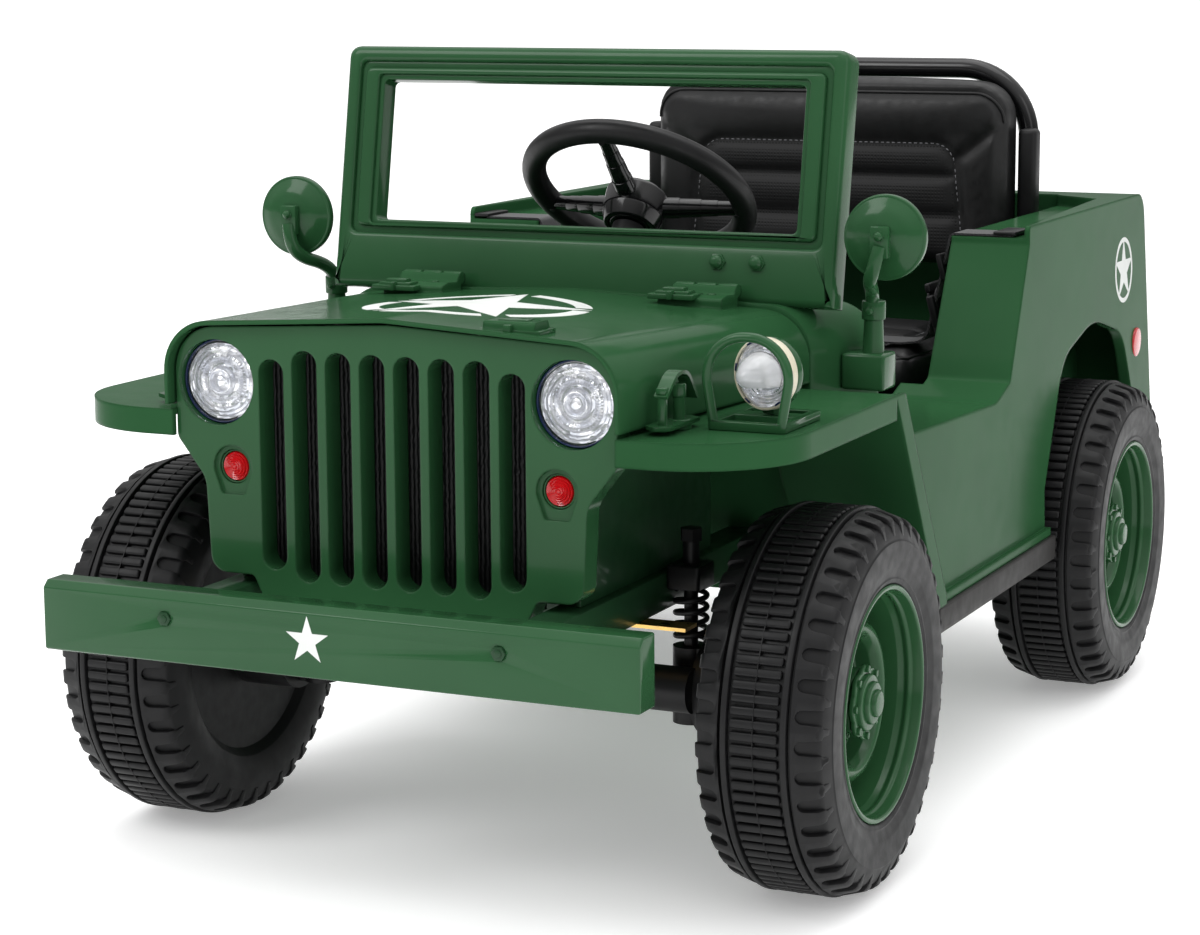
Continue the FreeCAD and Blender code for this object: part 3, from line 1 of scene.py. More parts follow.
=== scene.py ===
import json
import math
import bmesh
import bpy
from mathutils import Matrix, Vector
from mathutils.bvhtree import BVHTree


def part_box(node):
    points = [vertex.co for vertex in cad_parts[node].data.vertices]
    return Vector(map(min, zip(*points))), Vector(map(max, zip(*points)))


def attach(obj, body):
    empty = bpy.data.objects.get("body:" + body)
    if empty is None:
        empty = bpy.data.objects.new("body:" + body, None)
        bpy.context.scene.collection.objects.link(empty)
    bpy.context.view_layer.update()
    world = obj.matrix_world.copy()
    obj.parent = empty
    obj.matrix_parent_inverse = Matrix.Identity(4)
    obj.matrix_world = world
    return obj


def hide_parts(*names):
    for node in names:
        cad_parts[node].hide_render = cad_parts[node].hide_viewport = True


# Ride-on toy car styled as an open army 4x4. Lengths are millimetres until a mesh is finished.
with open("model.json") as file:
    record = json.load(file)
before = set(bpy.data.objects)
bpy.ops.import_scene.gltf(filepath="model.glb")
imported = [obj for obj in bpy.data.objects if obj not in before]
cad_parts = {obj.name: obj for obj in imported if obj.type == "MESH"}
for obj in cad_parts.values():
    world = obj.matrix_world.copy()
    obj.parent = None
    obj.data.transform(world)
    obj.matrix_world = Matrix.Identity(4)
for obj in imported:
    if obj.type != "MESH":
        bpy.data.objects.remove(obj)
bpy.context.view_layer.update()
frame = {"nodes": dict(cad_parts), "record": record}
scene = bpy.context.scene

MM = 0.001
FULL_TURN = 2 * math.pi
SIDES = (("left", 1), ("right", -1))
HANDS = (1, -1)
FLUSH = 0.01    # levels nearer than this are the same
RIM_RADIUS = 83


def corners(node):
    """A CAD node's lowest and highest corners in millimetres."""
    return [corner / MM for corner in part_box(node)]


def middle(node):
    return sum(corners(node), Vector()) / 2


FRONT_AXLE = corners("rim_front_left")[0].y + RIM_RADIUS


def ahead(distance):
    return FRONT_AXLE - distance


def behind(distance):
    return FRONT_AXLE + distance


def new_object(name, data):
    item = bpy.data.objects.new(name, data)
    scene.collection.objects.link(item)
    return item


# Camera at the photograph's angle
YAW, PITCH, ROLL = math.radians(24.82), math.radians(9.944), math.radians(-0.3137)
CAMERA_SPOT = Vector((935.5, ahead(1849.5), 642.0))
SENSOR_WIDTH, FOCAL_LENGTH = 36, 87.954
FARTHEST = 50


def add_camera():
    flat = math.cos(PITCH)
    forward = Vector((-math.sin(YAW) * flat, math.cos(YAW) * flat, -math.sin(PITCH)))
    level = Vector((math.cos(YAW), math.sin(YAW), 0))
    upright = level.cross(forward)
    right = level * math.cos(ROLL) + upright * math.sin(ROLL)
    above = upright * math.cos(ROLL) - level * math.sin(ROLL)
    camera = new_object("camera", bpy.data.cameras.new("camera"))
    camera.data.sensor_width = SENSOR_WIDTH
    camera.data.lens = FOCAL_LENGTH
    camera.data.clip_end = FARTHEST
    view = Matrix((right, above, -forward)).transposed().to_4x4()
    view.translation = CAMERA_SPOT * MM
    camera.matrix_world = view
    scene.camera = camera


# Materials: each has its own colour variation, roughness and grain
class Finish:
    def __init__(self, name, color, roughness, **constants):
        self.material = bpy.data.materials.new(name)
        self.material.use_nodes = True
        self.tree = self.material.node_tree
        self.shader = self.tree.nodes["Principled BSDF"]
        self.shader.inputs["Base Color"].default_value = (*color, 1)
        self.shader.inputs["Roughness"].default_value = roughness
        for socket, value in constants.items():
            self.shader.inputs[socket.replace("_", " ")].default_value = value
        self.place = self.tree.nodes.new("ShaderNodeTexCoord").outputs["Object"]

    def node(self, kind, links=(), **settings):
        item = self.tree.nodes.new("ShaderNode" + kind)
        for key, value in settings.items():
            setattr(item, key, value)
        for socket, source in dict(links).items():
            if isinstance(source, bpy.types.NodeSocket):
                self.tree.links.new(source, item.inputs[socket])
            else:
                item.inputs[socket].default_value = source
        return item

    def noise(self, scale, detail):
        return self.node("TexNoise", {"Vector": self.place, "Scale": scale, "Detail": detail}).outputs["Fac"]

    def cells(self, scale, feature="F1", randomness=1.0):
        links = {"Vector": self.place, "Scale": scale, "Randomness": randomness}
        return self.node("TexVoronoi", links, feature=feature).outputs["Distance"]

    def waves(self, scale, direction, **more):
        links = {"Vector": self.place, "Scale": scale, "Detail": 1, **more}
        return self.node("TexWave", links, bands_direction=direction).outputs["Fac"]

    def spread(self, factor, low, high, start=0.3, end=0.7):
        """Maps a factor between start and end to a value between low and high."""
        links = {"Value": factor, "From Min": start, "From Max": end, "To Min": low, "To Max": high}
        return self.node("MapRange", links).outputs["Result"]

    def shade(self, factor, dark, light):
        mix = self.node("Mix", {"Factor": factor}, data_type="RGBA")
        mix.inputs["A"].default_value = (*dark, 1)
        mix.inputs["B"].default_value = (*light, 1)
        self.tree.links.new(mix.outputs["Result"], self.shader.inputs["Base Color"])

    def mottle(self, scale, detail, dark, light):
        """Lets the colour wander between two shades."""
        self.shade(self.spread(self.noise(scale, detail), 0, 1), dark, light)

    def rough(self, scale, detail, low, high):
        """Lets the roughness wander between two values."""
        uneven = self.spread(self.noise(scale, detail), low, high)
        self.tree.links.new(uneven, self.shader.inputs["Roughness"])

    def bump(self, *layers, edge=None):
        """Adds height layers, each (height, strength, depth in millimetres), over softly rounded edges."""
        normal = self.node("Bevel", {"Radius": edge * MM}, samples=6).outputs["Normal"] if edge else None
        for height, strength, depth in layers:
            links = {"Height": height, "Strength": strength, "Distance": depth * MM}
            if normal:
                links["Normal"] = normal
            normal = self.node("Bump", links).outputs["Normal"]
        self.tree.links.new(normal, self.shader.inputs["Normal"])
        return self


DARK_GREEN, ARMY_GREEN = (0.018, 0.070, 0.026), (0.022, 0.082, 0.031)
DEEP_BLACK, SOFT_BLACK = (0.006, 0.006, 0.0065), (0.006, 0.006, 0.0066)


def make_green(name, low, high, gloss=0.16, edge=None, dark=DARK_GREEN, light=ARMY_GREEN):
    green = Finish(name, light, low, Specular_IOR_Level=gloss, Coat_Weight=0.6 * gloss, Coat_Roughness=0.05)
    green.mottle(9, 4, dark, light)
    green.rough(60, 3, low, high)
    return green.bump((green.noise(7, 1), 0.25, 1.6), (green.noise(750, 2), 0.12, 0.06), edge=edge)


def make_black(name, color, low, high, grain, depth, gloss=0.26):
    black = Finish(name, color, low, Specular_IOR_Level=gloss)
    black.mottle(14, 3, tuple(0.8 * part for part in color), color)
    black.rough(90, 4, low, high)
    return black.bump((black.noise(grain, 3), 0.3, depth))


def make_leather():
    hide = Finish("black_leather", DEEP_BLACK, 0.42, Specular_IOR_Level=0.3)
    hide.mottle(25, 4, (0.004, 0.004, 0.0042), (0.008, 0.008, 0.0085))
    hide.rough(140, 4, 0.34, 0.52)
    return hide.bump((hide.noise(38, 3), 0.25, 1.0), (hide.cells(620, "DISTANCE_TO_EDGE"), 0.35, 0.15))


def make_perforated():
    hide = Finish("perforated_leather", DEEP_BLACK, 0.55, Specular_IOR_Level=0.26)
    dots = hide.cells(330, randomness=0.0)
    hide.shade(hide.spread(dots, 0, 1, 0.16, 0.3), (0.0008, 0.0008, 0.0008), (0.007, 0.007, 0.0075))
    return hide.bump((hide.spread(dots, 0, 1, 0.12, 0.4), 0.5, 0.5), (hide.noise(300, 3), 0.25, 0.15))


def make_webbing():
    web = Finish("black_webbing", (0.012, 0.012, 0.013), 0.75, Sheen_Weight=0.3, Sheen_Roughness=0.4)
    rows = web.waves(170, "DIAGONAL", Distortion=0.6)
    web.shade(rows, (0.006, 0.006, 0.007), (0.018, 0.018, 0.02))
    return web.bump((rows, 0.6, 0.35), (web.noise(900, 2), 0.3, 0.12))


def make_reflector():
    # The white emission is painted light: the reflector glows faintly to stand for the light it catches.
    silver = Finish("silver_reflector", (0.95, 0.96, 0.98), 0.12, Metallic=0.75,
                    Emission_Color=(1, 1, 1, 1), Emission_Strength=0.14)
    silver.shade(silver.spread(silver.cells(150), 0, 1, 0.2, 0.62), (0.98, 0.98, 1.0), (0.55, 0.57, 0.62))
    return silver.bump((silver.cells(170), 0.7, 1.1))


def make_mesh_black():
    """Fine upright wavy lines, as on the insert behind the grille's slots."""
    mesh = Finish("black_mesh", DEEP_BLACK, 0.4, Specular_IOR_Level=0.2)
    rows = mesh.waves(95, "X", **{"Distortion": 2.2, "Detail Scale": 3})
    mesh.shade(rows, (0.001, 0.001, 0.0012), (0.010, 0.010, 0.011))
    return mesh.bump((rows, 0.6, 0.8))


def make_metal(name, dark, light, low, high):
    metal = Finish(name, light, low, Metallic=1.0)
    metal.mottle(60, 4, dark, light)
    metal.rough(120, 4, low, high)
    return metal.bump((metal.noise(500, 3), 0.2, 0.1))


def make_lens(name, color, roughness, transmission, grain):
    lens = Finish(name, color, roughness, Transmission_Weight=transmission, IOR=1.46, Coat_Weight=0.4,
                  Coat_Roughness=0.04)
    return lens.bump((lens.noise(grain, 2), 0.15, 0.2))


GREEN = make_green("army_green", 0.12, 0.19)
SHELL_GREEN = make_green("shell_green", 0.12, 0.19, 0.04, 3.5)
TUB_GREEN = make_green("tub_green", 0.18, 0.26, 0.02, 3.5)
PANEL_GREEN = make_green("grille_green", 0.12, 0.19, 0.12, 2.2)
RIM_GREEN = make_green("rim_green", 0.18, 0.27, dark=(0.020, 0.074, 0.028), light=(0.026, 0.090, 0.035))
# A darker copy of the army green: painted shade, for the frame and engine bay sides under the bonnet and for
# the bumper bolts.
SHADED_GREEN = make_green("shaded_green", 0.28, 0.4, dark=(0.010, 0.036, 0.015), light=(0.015, 0.052, 0.021))
TYRE = make_black("tyre_moulding", SOFT_BLACK, 0.42, 0.56, 700, 0.10)
BLACK = make_black("black_moulding", SOFT_BLACK, 0.36, 0.5, 900, 0.12)
GLOSS = make_black("black_gloss_moulding", (0.004, 0.004, 0.0045), 0.10, 0.2, 260, 0.03, 0.4)
STEP_BLACK = make_black("step_moulding", (0.022, 0.021, 0.020), 0.5, 0.62, 1100, 0.2)
LEATHER = make_leather()
PERFORATED = make_perforated()
THREAD = make_black("grey_thread", (0.16, 0.16, 0.17), 0.6, 0.8, 1500, 0.1)
WEBBING = make_webbing()
SILVER = make_reflector()
STEEL = make_metal("bare_steel", (0.42, 0.43, 0.45), (0.62, 0.63, 0.65), 0.22, 0.42)
ZINC = make_metal("yellow_zinc", (0.72, 0.42, 0.10), (0.85, 0.60, 0.24), 0.25, 0.45)
CLEAR = make_lens("clear_lens", (0.97, 0.98, 1.0), 0.03, 1.0, 300)
RED = make_lens("red_lens", (0.62, 0.004, 0.008), 0.12, 0.25, 30)
HOOD = make_lens("hood_lens", (0.94, 0.95, 0.97), 0.07, 0.6, 120)
CREAM = make_lens("cream_lens", (0.86, 0.80, 0.62), 0.3, 0.35, 400)
BLUE_EDGE = make_black("dark_blue_edge", (0.004, 0.016, 0.06), 0.15, 0.25, 300, 0.05)
GLASS = make_metal("mirror_glass", (0.86, 0.88, 0.9), (0.9, 0.92, 0.94), 0.02, 0.05)
MESH = make_mesh_black()
MARKING = make_black("white_marking", (0.72, 0.74, 0.72), 0.45, 0.6, 900, 0.04)
FINISH_OF_SLOT = {"green_paint": GREEN, "tyre_black": TYRE, "black_plastic": BLACK, "black_gloss": GLOSS,
                  "seat_leather": LEATHER, "lamp_clear": SILVER, "lamp_red": RED, "belt_web": WEBBING,
                  "dark_steel": STEEL, "zinc_steel": ZINC}
SLOT_OF_NODE = {part["node"]: part["material_slot"] for part in frame["record"]["subparts"]}


# Places
def at(x, y, z):
    return Matrix.Translation((x, y, z))


def turned(degrees, axis):
    return Matrix.Rotation(math.radians(degrees), 4, axis)


def round_ring(count, start=0.0):
    """The places of a shape repeated evenly round X."""
    return [turned(start + 360 * index / count, "X") for index in range(count)]


FACING = turned(-90, "Z")    # takes a shape that looks along X to the front, -Y
UPWARD = turned(-90, "Y")    # takes a shape that looks along X to the top, +Z


# Outlines
def rounded(outline, closed=False, steps=5):
    """The points of an outline whose corners, where given as (across, up, radius), are arcs."""
    count, points = len(outline), []
    spots = [Vector(corner[:2]) for corner in outline]
    for index, corner in enumerate(outline):
        spot = spots[index]
        if len(corner) < 3 or (not closed and index in (0, count - 1)):
            points.append(spot)
            continue
        back = (spots[index - 1] - spot).normalized()
        onward = (spots[(index + 1) % count] - spot).normalized()
        half = back.angle(onward) / 2
        centre = spot + (back + onward).normalized() * (corner[2] / math.sin(half))
        start = spot + back * (corner[2] / math.tan(half)) - centre
        sweep = start.angle_signed(spot + onward * (corner[2] / math.tan(half)) - centre)
        for step in range(steps + 1):
            points.append(centre + Matrix.Rotation(-sweep * step / steps, 2) @ start)
    return points


def box_outline(half, low, high, top, bottom, steps=5):
    """A rectangle with rounded upper and lower corners."""
    return rounded([(-half, low, bottom), (half, low, bottom), (half, high, top), (-half, high, top)],
                   closed=True, steps=steps)


def arch(foot_half, foot, half, crown, radius, steps):
    """A line that goes up, across and down again, its two corners rounded."""
    return rounded([(-foot_half, foot), (-half, crown, radius), (half, crown, radius), (foot_half, foot)],
                   steps=steps)


# Mesh helpers
def outward(bm):
    bmesh.ops.recalc_face_normals(bm, faces=bm.faces)
    return bm


def moved(bm, matrix):
    bmesh.ops.transform(bm, matrix=matrix, verts=bm.verts)
    return bm


def scaled(bm, factor):
    bmesh.ops.scale(bm, vec=(factor,) * 3, verts=bm.verts)
    return bm


def chain(bm, points, closed=False):
    """New vertices at points, and the edges that join each to the next."""
    spots = [bm.verts.new(point) for point in points]
    ends = spots[1:] + spots[:1] if closed else spots[1:]
    return spots, [bm.edges.new(pair) for pair in zip(spots, ends)]


def pulled(bm, faces, by):
    """Extrudes faces, moves the new vertices and returns them."""
    grown = bmesh.ops.extrude_face_region(bm, geom=faces)["geom"]
    spots = [item for item in grown if isinstance(item, bmesh.types.BMVert)]
    bmesh.ops.translate(bm, vec=by, verts=spots)
    return spots


def edges_at(bm, axis, level):
    """The edges that lie at a level along an axis, 0 for X to 2 for Z."""
    return [edge for edge in bm.edges if all(abs(vert.co[axis] - level) < FLUSH for vert in edge.verts)]


def cut_at(bm, spot, heading, **more):
    everything = bm.verts[:] + bm.edges[:] + bm.faces[:]
    bmesh.ops.bisect_plane(bm, geom=everything, plane_co=spot, plane_no=heading, **more)


def soften(bm, edges, width, segments=2):
    bmesh.ops.bevel(bm, geom=list(edges), offset=width, offset_type="OFFSET", segments=segments,
                    profile=0.5, affect="EDGES", material=-1)
    return bm


def spun(profile, steps, closed=False):
    """A profile of (along, radius) turned round X."""
    bm = bmesh.new()
    spots, edges = chain(bm, [(along, 0, radius) for along, radius in profile], closed)
    bmesh.ops.spin(bm, geom=spots + edges, cent=(0, 0, 0), axis=(1, 0, 0), dvec=(0, 0, 0),
                   angle=FULL_TURN, steps=steps, use_merge=True)
    bmesh.ops.remove_doubles(bm, verts=bm.verts, dist=FLUSH)
    return outward(bm)


def lathe(outline, steps, sides, closed=False):
    """A profile with rounded corners turned round X."""
    return spun(rounded(outline, closed, steps), sides, closed)


def brick(low, high, edge, segments=2):
    """A box between two corners with rounded edges."""
    bm = bmesh.new()
    low, high = Vector(low), Vector(high)
    bmesh.ops.create_cube(bm, size=1)
    bmesh.ops.scale(bm, vec=high - low, verts=bm.verts)
    bmesh.ops.translate(bm, vec=(low + high) / 2, verts=bm.verts)
    return soften(bm, bm.edges, edge, segments)


def slab(outline, depth, edge, segments=2):
    """A plate from an outline of (across, up), from y = 0 back to its depth, its front rim rounded."""
    bm = bmesh.new()
    face = bm.faces.new([bm.verts.new((across, 0, up)) for across, up in outline])
    bmesh.ops.recalc_face_normals(bm, faces=[face])
    pulled(bm, [face], (0, depth, 0))
    outward(bm)
    return soften(bm, edges_at(bm, 1, 0), edge, segments)


def framed(outer, inner, front, back, outer_edge, inner_edge):
    """A ring between two outlines of equally many points, from y = front to back, its front rims rounded."""
    bm = bmesh.new()
    loops = []
    for outline in (outer, inner):
        loops += chain(bm, [(spot.x, front, spot.y) for spot in outline], True)[1]
    bmesh.ops.bridge_loops(bm, edges=loops)
    pulled(bm, bm.faces[:], (0, back - front, 0))
    outward(bm)
    centre = sum((vert.co for vert in bm.verts), Vector()) / len(bm.verts)
    rims = {True: [], False: []}
    for edge in edges_at(bm, 1, front):
        if edge.calc_face_angle(0) > 1:
            side = min(edge.link_faces, key=lambda face: abs(face.normal.y))
            rims[side.normal.dot(edge.verts[0].co - centre) > 0].append(edge)
    soften(bm, rims[True], outer_edge, 3)
    return soften(bm, [edge for edge in rims[False] if edge.is_valid], inner_edge, 3)


def disc(radius, depth, edge, sides):
    """A many-sided button along X, its outer rim rounded."""
    bm = bmesh.new()
    bmesh.ops.create_cone(bm, cap_ends=True, segments=sides, radius1=radius, radius2=radius, depth=depth)
    moved(bm, at(depth / 2, 0, 0) @ turned(90, "Y"))
    return soften(bm, edges_at(bm, 0, depth), edge)


def pill(depth, radius, edge=0.6, steps=48):
    """A closed round plug along X, whose outer rim is rounded."""
    return lathe([(0, 0), (0, radius), (depth, radius, edge), (depth, 0)], 3, steps)


def bolt(radius, height):
    """A bolt along X: a washer face, a hexagon head and a low round end."""
    return joined(disc(radius * 1.45, height * 0.35, 0.3, 20),
                  moved(disc(radius, height, 0.5, 6), at(height * 0.3, 0, 0)),
                  moved(disc(radius * 0.5, height * 0.3, 0.3, 12), at(height * 1.3, 0, 0)))


def dome_bolt():
    return joined(disc(6.6, 2.2, 0.5, 6),
                  lathe([(1, 0), (1, 5.2), (4.4, 4.9, 1.6), (6.4, 2.4, 2), (6.6, 0)], 3, 32))


def mesh_of(name, bm):
    """A mesh made from a bmesh, which it uses up."""
    mesh = bpy.data.meshes.new(name)
    bm.to_mesh(mesh)
    bm.free()
    return mesh


def millimetre_copy(mesh):
    bm = bmesh.new()
    bm.from_mesh(mesh)
    return scaled(bm, 1 / MM)


def applied(item):
    """The mesh of an object after its modifiers."""
    return bpy.data.meshes.new_from_object(item.evaluated_get(bpy.context.evaluated_depsgraph_get()))


def joined(*shapes):
    """One mesh from several, each a mesh or (mesh, matrices that place its copies)."""
    target = bmesh.new()
    for shape in shapes:
        shape, places = shape if isinstance(shape, tuple) else (shape, [Matrix()])
        mesh = mesh_of("stamp", shape)
        for place in places:
            copy = mesh.copy()
            copy.transform(place)
            if place.determinant() < 0:
                copy.flip_normals()
            target.from_mesh(copy)
            bpy.data.meshes.remove(copy)
        bpy.data.meshes.remove(mesh)
    return target


def pipe(points, radius, steps, order=3):
    """A round rod along a line through its points, smooth where its order is over 2."""
    curve = bpy.data.curves.new("line", "CURVE")
    curve.dimensions = "3D"
    curve.bevel_depth = radius
    curve.bevel_resolution = steps // 4
    curve.use_fill_caps = True
    line = curve.splines.new("NURBS" if order > 2 else "POLY")
    line.points.add(len(points) - 1)
    for spot, point in zip(line.points, points):
        spot.co = (*point, 1)
    if order > 2:
        line.order_u = order
        line.use_endpoint_u = True
        line.resolution_u = 6
    item = new_object("line", curve)
    mesh = applied(item)
    bm = bmesh.new()
    bm.from_mesh(mesh)
    bpy.data.objects.remove(item)
    bpy.data.meshes.remove(mesh)
    return bm


def finished(name, bm, finish, stands_for=None, body="chassis", sharp=38):
    """A millimetre mesh made a piece in metres. It rides on a body and may stand for a CAD node."""
    mesh = mesh_of(name, scaled(bm, MM))
    mesh.shade_smooth()
    mesh.set_sharp_from_angle(angle=math.radians(sharp))
    mesh.materials.append(finish.material)
    item = new_object(name, mesh)
    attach(item, body)
    if stands_for:
        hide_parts(stands_for)
    return item


def dressed(node, finish, edge):
    """A copy of a CAD node's mesh with softly rounded edges, which stands for it."""
    bm = millimetre_copy(frame["nodes"][node].data)
    bmesh.ops.remove_doubles(bm, verts=bm.verts, dist=FLUSH)
    bmesh.ops.dissolve_limit(bm, angle_limit=math.radians(0.5), verts=bm.verts, edges=bm.edges)
    item = finished(node + "_moulding", bm, finish, node, sharp=180)
    bevel = item.modifiers.new("round_edges", "BEVEL")
    bevel.width = edge * MM
    bevel.segments = 2
    bevel.profile = 0.5
    bevel.limit_method = "ANGLE"
    bevel.angle_limit = math.radians(32)
    bevel.use_clamp_overlap = False
    bevel.harden_normals = True


def paint(node, finish):
    """Gives a CAD node whose shape is right its own material."""
    item = frame["nodes"][node]
    item.data.materials.clear()
    item.data.materials.append(finish.material)


# Floor and light, in metres
FLOOR_HALF = 60
SKY = {"From Min": 0.05, "From Max": 0.75, "To Min": 0.22, "To Max": 1.35}


def add_stage():
    bm = bmesh.new()
    bmesh.ops.create_grid(bm, x_segments=1, y_segments=1, size=FLOOR_HALF)
    floor = new_object("floor", mesh_of("floor", bm))
    pale = Finish("pale_floor", (0.95, 0.95, 0.95), 0.8, Emission_Color=(1, 1, 1, 1), Emission_Strength=0.28)
    floor.data.materials.append(pale.material)
    world = bpy.data.worlds.new("studio")
    scene.world = world
    world.use_nodes = True
    tree = world.node_tree
    tree.nodes["Background"].inputs["Color"].default_value = (1, 1, 1, 1)
    upward = tree.nodes.new("ShaderNodeSeparateXYZ")
    tree.links.new(tree.nodes.new("ShaderNodeTexCoord").outputs["Generated"], upward.inputs[0])
    sky = tree.nodes.new("ShaderNodeMapRange")
    for socket, value in SKY.items():
        sky.inputs[socket].default_value = value
    tree.links.new(upward.outputs["Z"], sky.inputs["Value"])
    tree.links.new(sky.outputs["Result"], tree.nodes["Background"].inputs["Strength"])


def add_light(name, spot, aim, width, height, power):
    lamp = bpy.data.lights.new(name, "AREA")
    lamp.shape = "RECTANGLE"
    lamp.size = width
    lamp.size_y = height
    lamp.energy = power
    item = new_object(name, lamp)
    item.location = spot
    item.rotation_euler = (Vector(aim) - Vector(spot)).to_track_quat("-Z", "Y").to_euler()


# Wheels, modelled along X with the outer side at +X and the tread's middle at x = 0
TYRE_RADIUS = (corners("tyre_front_left")[1].z - corners("tyre_front_left")[0].z) / 2
LUG_COUNT, LUG_DEPTH, LUG_ROOT = 40, 4.2, 1.5
BAR_COUNT = 98
TREAD_LINE = rounded([(0, 135), (20, 135, 40), (44, 128, 7), (47.9, 109), (47.4, 100)], steps=6)
HUB_LOBES = 8


def on_tread(along, height):
    """The (across, radius) of a spot at a distance along the tread's outer line and above it."""
    for start, end in zip(TREAD_LINE, TREAD_LINE[1:]):
        run = (end - start).length
        if along <= run:
            break
        along -= run
    heading = (end - start) / run
    return start + heading * along + Vector((-heading.y, heading.x)) * height


def lug_cell():
    """One pitch of the shoulder: a smooth band with a round-ended pocket that opens sideways."""
    half = math.pi * TYRE_RADIUS / LUG_COUNT
    near, far, pocket, wide = 25.6, 57.0, 33.2, 4.6
    outline = [(near, -half), (far, -half), (far, -8.2), (49.5, -7.4), (48.0, -5.6)]
    outline += [(pocket - wide * math.cos(angle), wide * math.sin(angle))
                for angle in [math.pi * step / 12 - math.pi / 2 for step in range(13)]]
    outline += [(48.0, 5.6), (49.5, 7.4), (far, 8.2), (far, half), (near, half)]
    bm = bmesh.new()
    face = bm.faces.new([bm.verts.new((along, round_it, 0)) for along, round_it in outline])
    pulled(bm, [face], (0, 0, -LUG_DEPTH - LUG_ROOT))
    outward(bm)
    soften(bm, [edge for edge in edges_at(bm, 2, 0)
                if not all(abs(vert.co.y) > half - FLUSH for vert in edge.verts)], 0.8)
    for station in (29, 36, 40.5, 42, 43.5, 45, 46.5, 50, 53.5):
        cut_at(bm, (station, 0, 0), (1, 0, 0))
    for vert in bm.verts:
        across, radius = on_tread(vert.co.x, vert.co.z)
        angle = vert.co.y / TYRE_RADIUS
        vert.co = (across, -radius * math.sin(angle), radius * math.cos(angle))
    return bm


def tyre_shape():
    carcass = lathe([
        (-31, 7.3), (-38, 7.3), (-38, 84), (-43.5, 90, 4), (-47.2, 100), (-47.6, 109), (-43.4, 124.2, 4),
        (-25, 129.9), (-23.4, 130.6), (-22.9, 134.8, 0.8), (-19.0, 134.95, 0.8), (-18.4, 131.2),
        (18.4, 131.2), (19.0, 134.95, 0.8), (22.9, 134.8, 0.8), (23.4, 130.6), (25, 129.9),
        (43.4, 124.2, 4), (47.1, 114.2), (47.2, 113.2), (47.9, 112.4, 0.6), (47.9, 108), (47.1, 96, 12),
        (44.6, 87.5, 3), (45.2, 86.4), (44.2, 83.4, 2), (39.5, 80.3), (-31, 80.3)], 3, 120, True)
    bar = brick((-16.9, -3.1, 129.5), (16.9, 3.1, 134.6), 1.7, 3)
    seam = spun([(-0.35, 131), (-0.25, 134.85), (0.25, 134.85), (0.35, 131)], 120, True)
    lug_places = [place @ flip for place in round_ring(LUG_COUNT) for flip in (Matrix(), turned(180, "Z"))]
    bm = joined(carcass, seam, (bar, round_ring(BAR_COUNT)), (lug_cell(), lug_places))
    bmesh.ops.remove_doubles(bm, verts=bm.verts, dist=0.02)
    return bm


def hub_shape():
    """A stepped hub, its side drawn in between its lobes."""
    hub = lathe([
        (5, 0), (5, 23.5), (25.5, 23.5, 1), (25.5, 21.0), (27, 21), (27, 26.4, 1.2), (30.6, 26.4, 1.2),
        (30.6, 20.2), (33.8, 19.6, 1.5), (34.2, 15.2), (37.2, 14.6, 1.5), (37.6, 9.8), (40.6, 9.2, 2),
        (40.8, 0)], 3, 96)
    smooth_reach, flange_start = 20.5, 26.5
    for vert in hub.verts:
        if math.hypot(vert.co.y, vert.co.z) > smooth_reach:
            lobe = 0.5 + 0.5 * math.cos(HUB_LOBES * math.atan2(vert.co.y, vert.co.z))
            depth = 0.055 if vert.co.x < flange_start else 0.09
            wave = 1 - depth * (1 - lobe ** 0.5)
            vert.co.y, vert.co.z = vert.co.y * wave, vert.co.z * wave
    return hub


def rim_shape():
    dish = lathe([
        (45, 81.4, 1.5), (43.0, 83.2, 1.2), (41.2, 79.4), (-27.5, 79.4), (-27.5, 74.5), (7.4, 73.2, 3),
        (7.2, 68), (9.2, 61, 3), (13.6, 58.6, 2.5), (20.5, 57.6, 5), (26.4, 52.5, 6), (26.0, 47.0, 5),
        (18.5, 43.4, 5), (8.0, 42.6, 2), (6.2, 38.5), (6.2, 27), (-27.5, 14), (-27.5, 7.2), (2, 7.2), (2, 0),
        (5.8, 0), (5.8, 36), (9.6, 74.2), (27.0, 75.4, 3), (31.5, 77.4, 2), (34.8, 75.6, 2.5),
        (37.2, 77.6, 2), (44.4, 78.6, 1.5)], 4, 96, True)
    angles = [FULL_TURN * index / HUB_LOBES + math.pi / HUB_LOBES for index in range(HUB_LOBES)]
    octagon = rounded([(39 * math.sin(angle), 39 * math.cos(angle), 6) for angle in angles],
                      closed=True, steps=3)
    flange = moved(slab(octagon, 3, 0.8), at(9.4, 0, 0) @ turned(90, "Z"))
    web_bolts = [place @ at(0, 0, 31.4) for place in round_ring(HUB_LOBES, start=22.5)]
    cap_bolts = [place @ at(30.2, 0, 23.6) for place in round_ring(HUB_LOBES)]
    gutter_bolts = [place @ at(7.6, 0, 67) for place in round_ring(5, start=18)]
    return joined(dish, hub_shape(), flange, (moved(bolt(3.0, 3.2), at(9, 0, 0)), web_bolts),
                  (disc(2.7, 2.6, 0.7, 12), cap_bolts), (bolt(2.6, 3.4), gutter_bolts))


def add_wheels():
    tyre, rim = tyre_shape(), rim_shape()
    for end in ("front", "rear"):
        for side, hand in SIDES:
            wheel = f"{end}_{side}"
            hub = middle("rim_" + wheel)
            hub.x = middle("tyre_" + wheel).x
            place = at(*hub) @ turned(0 if hand > 0 else 180, "Z")
            body = "wheel_" + wheel
            finished("tread_" + wheel, moved(tyre.copy(), place), TYRE, "tyre_" + wheel, body=body)
            finished("dish_" + wheel, moved(rim.copy(), place), RIM_GREEN, "rim_" + wheel, body=body)


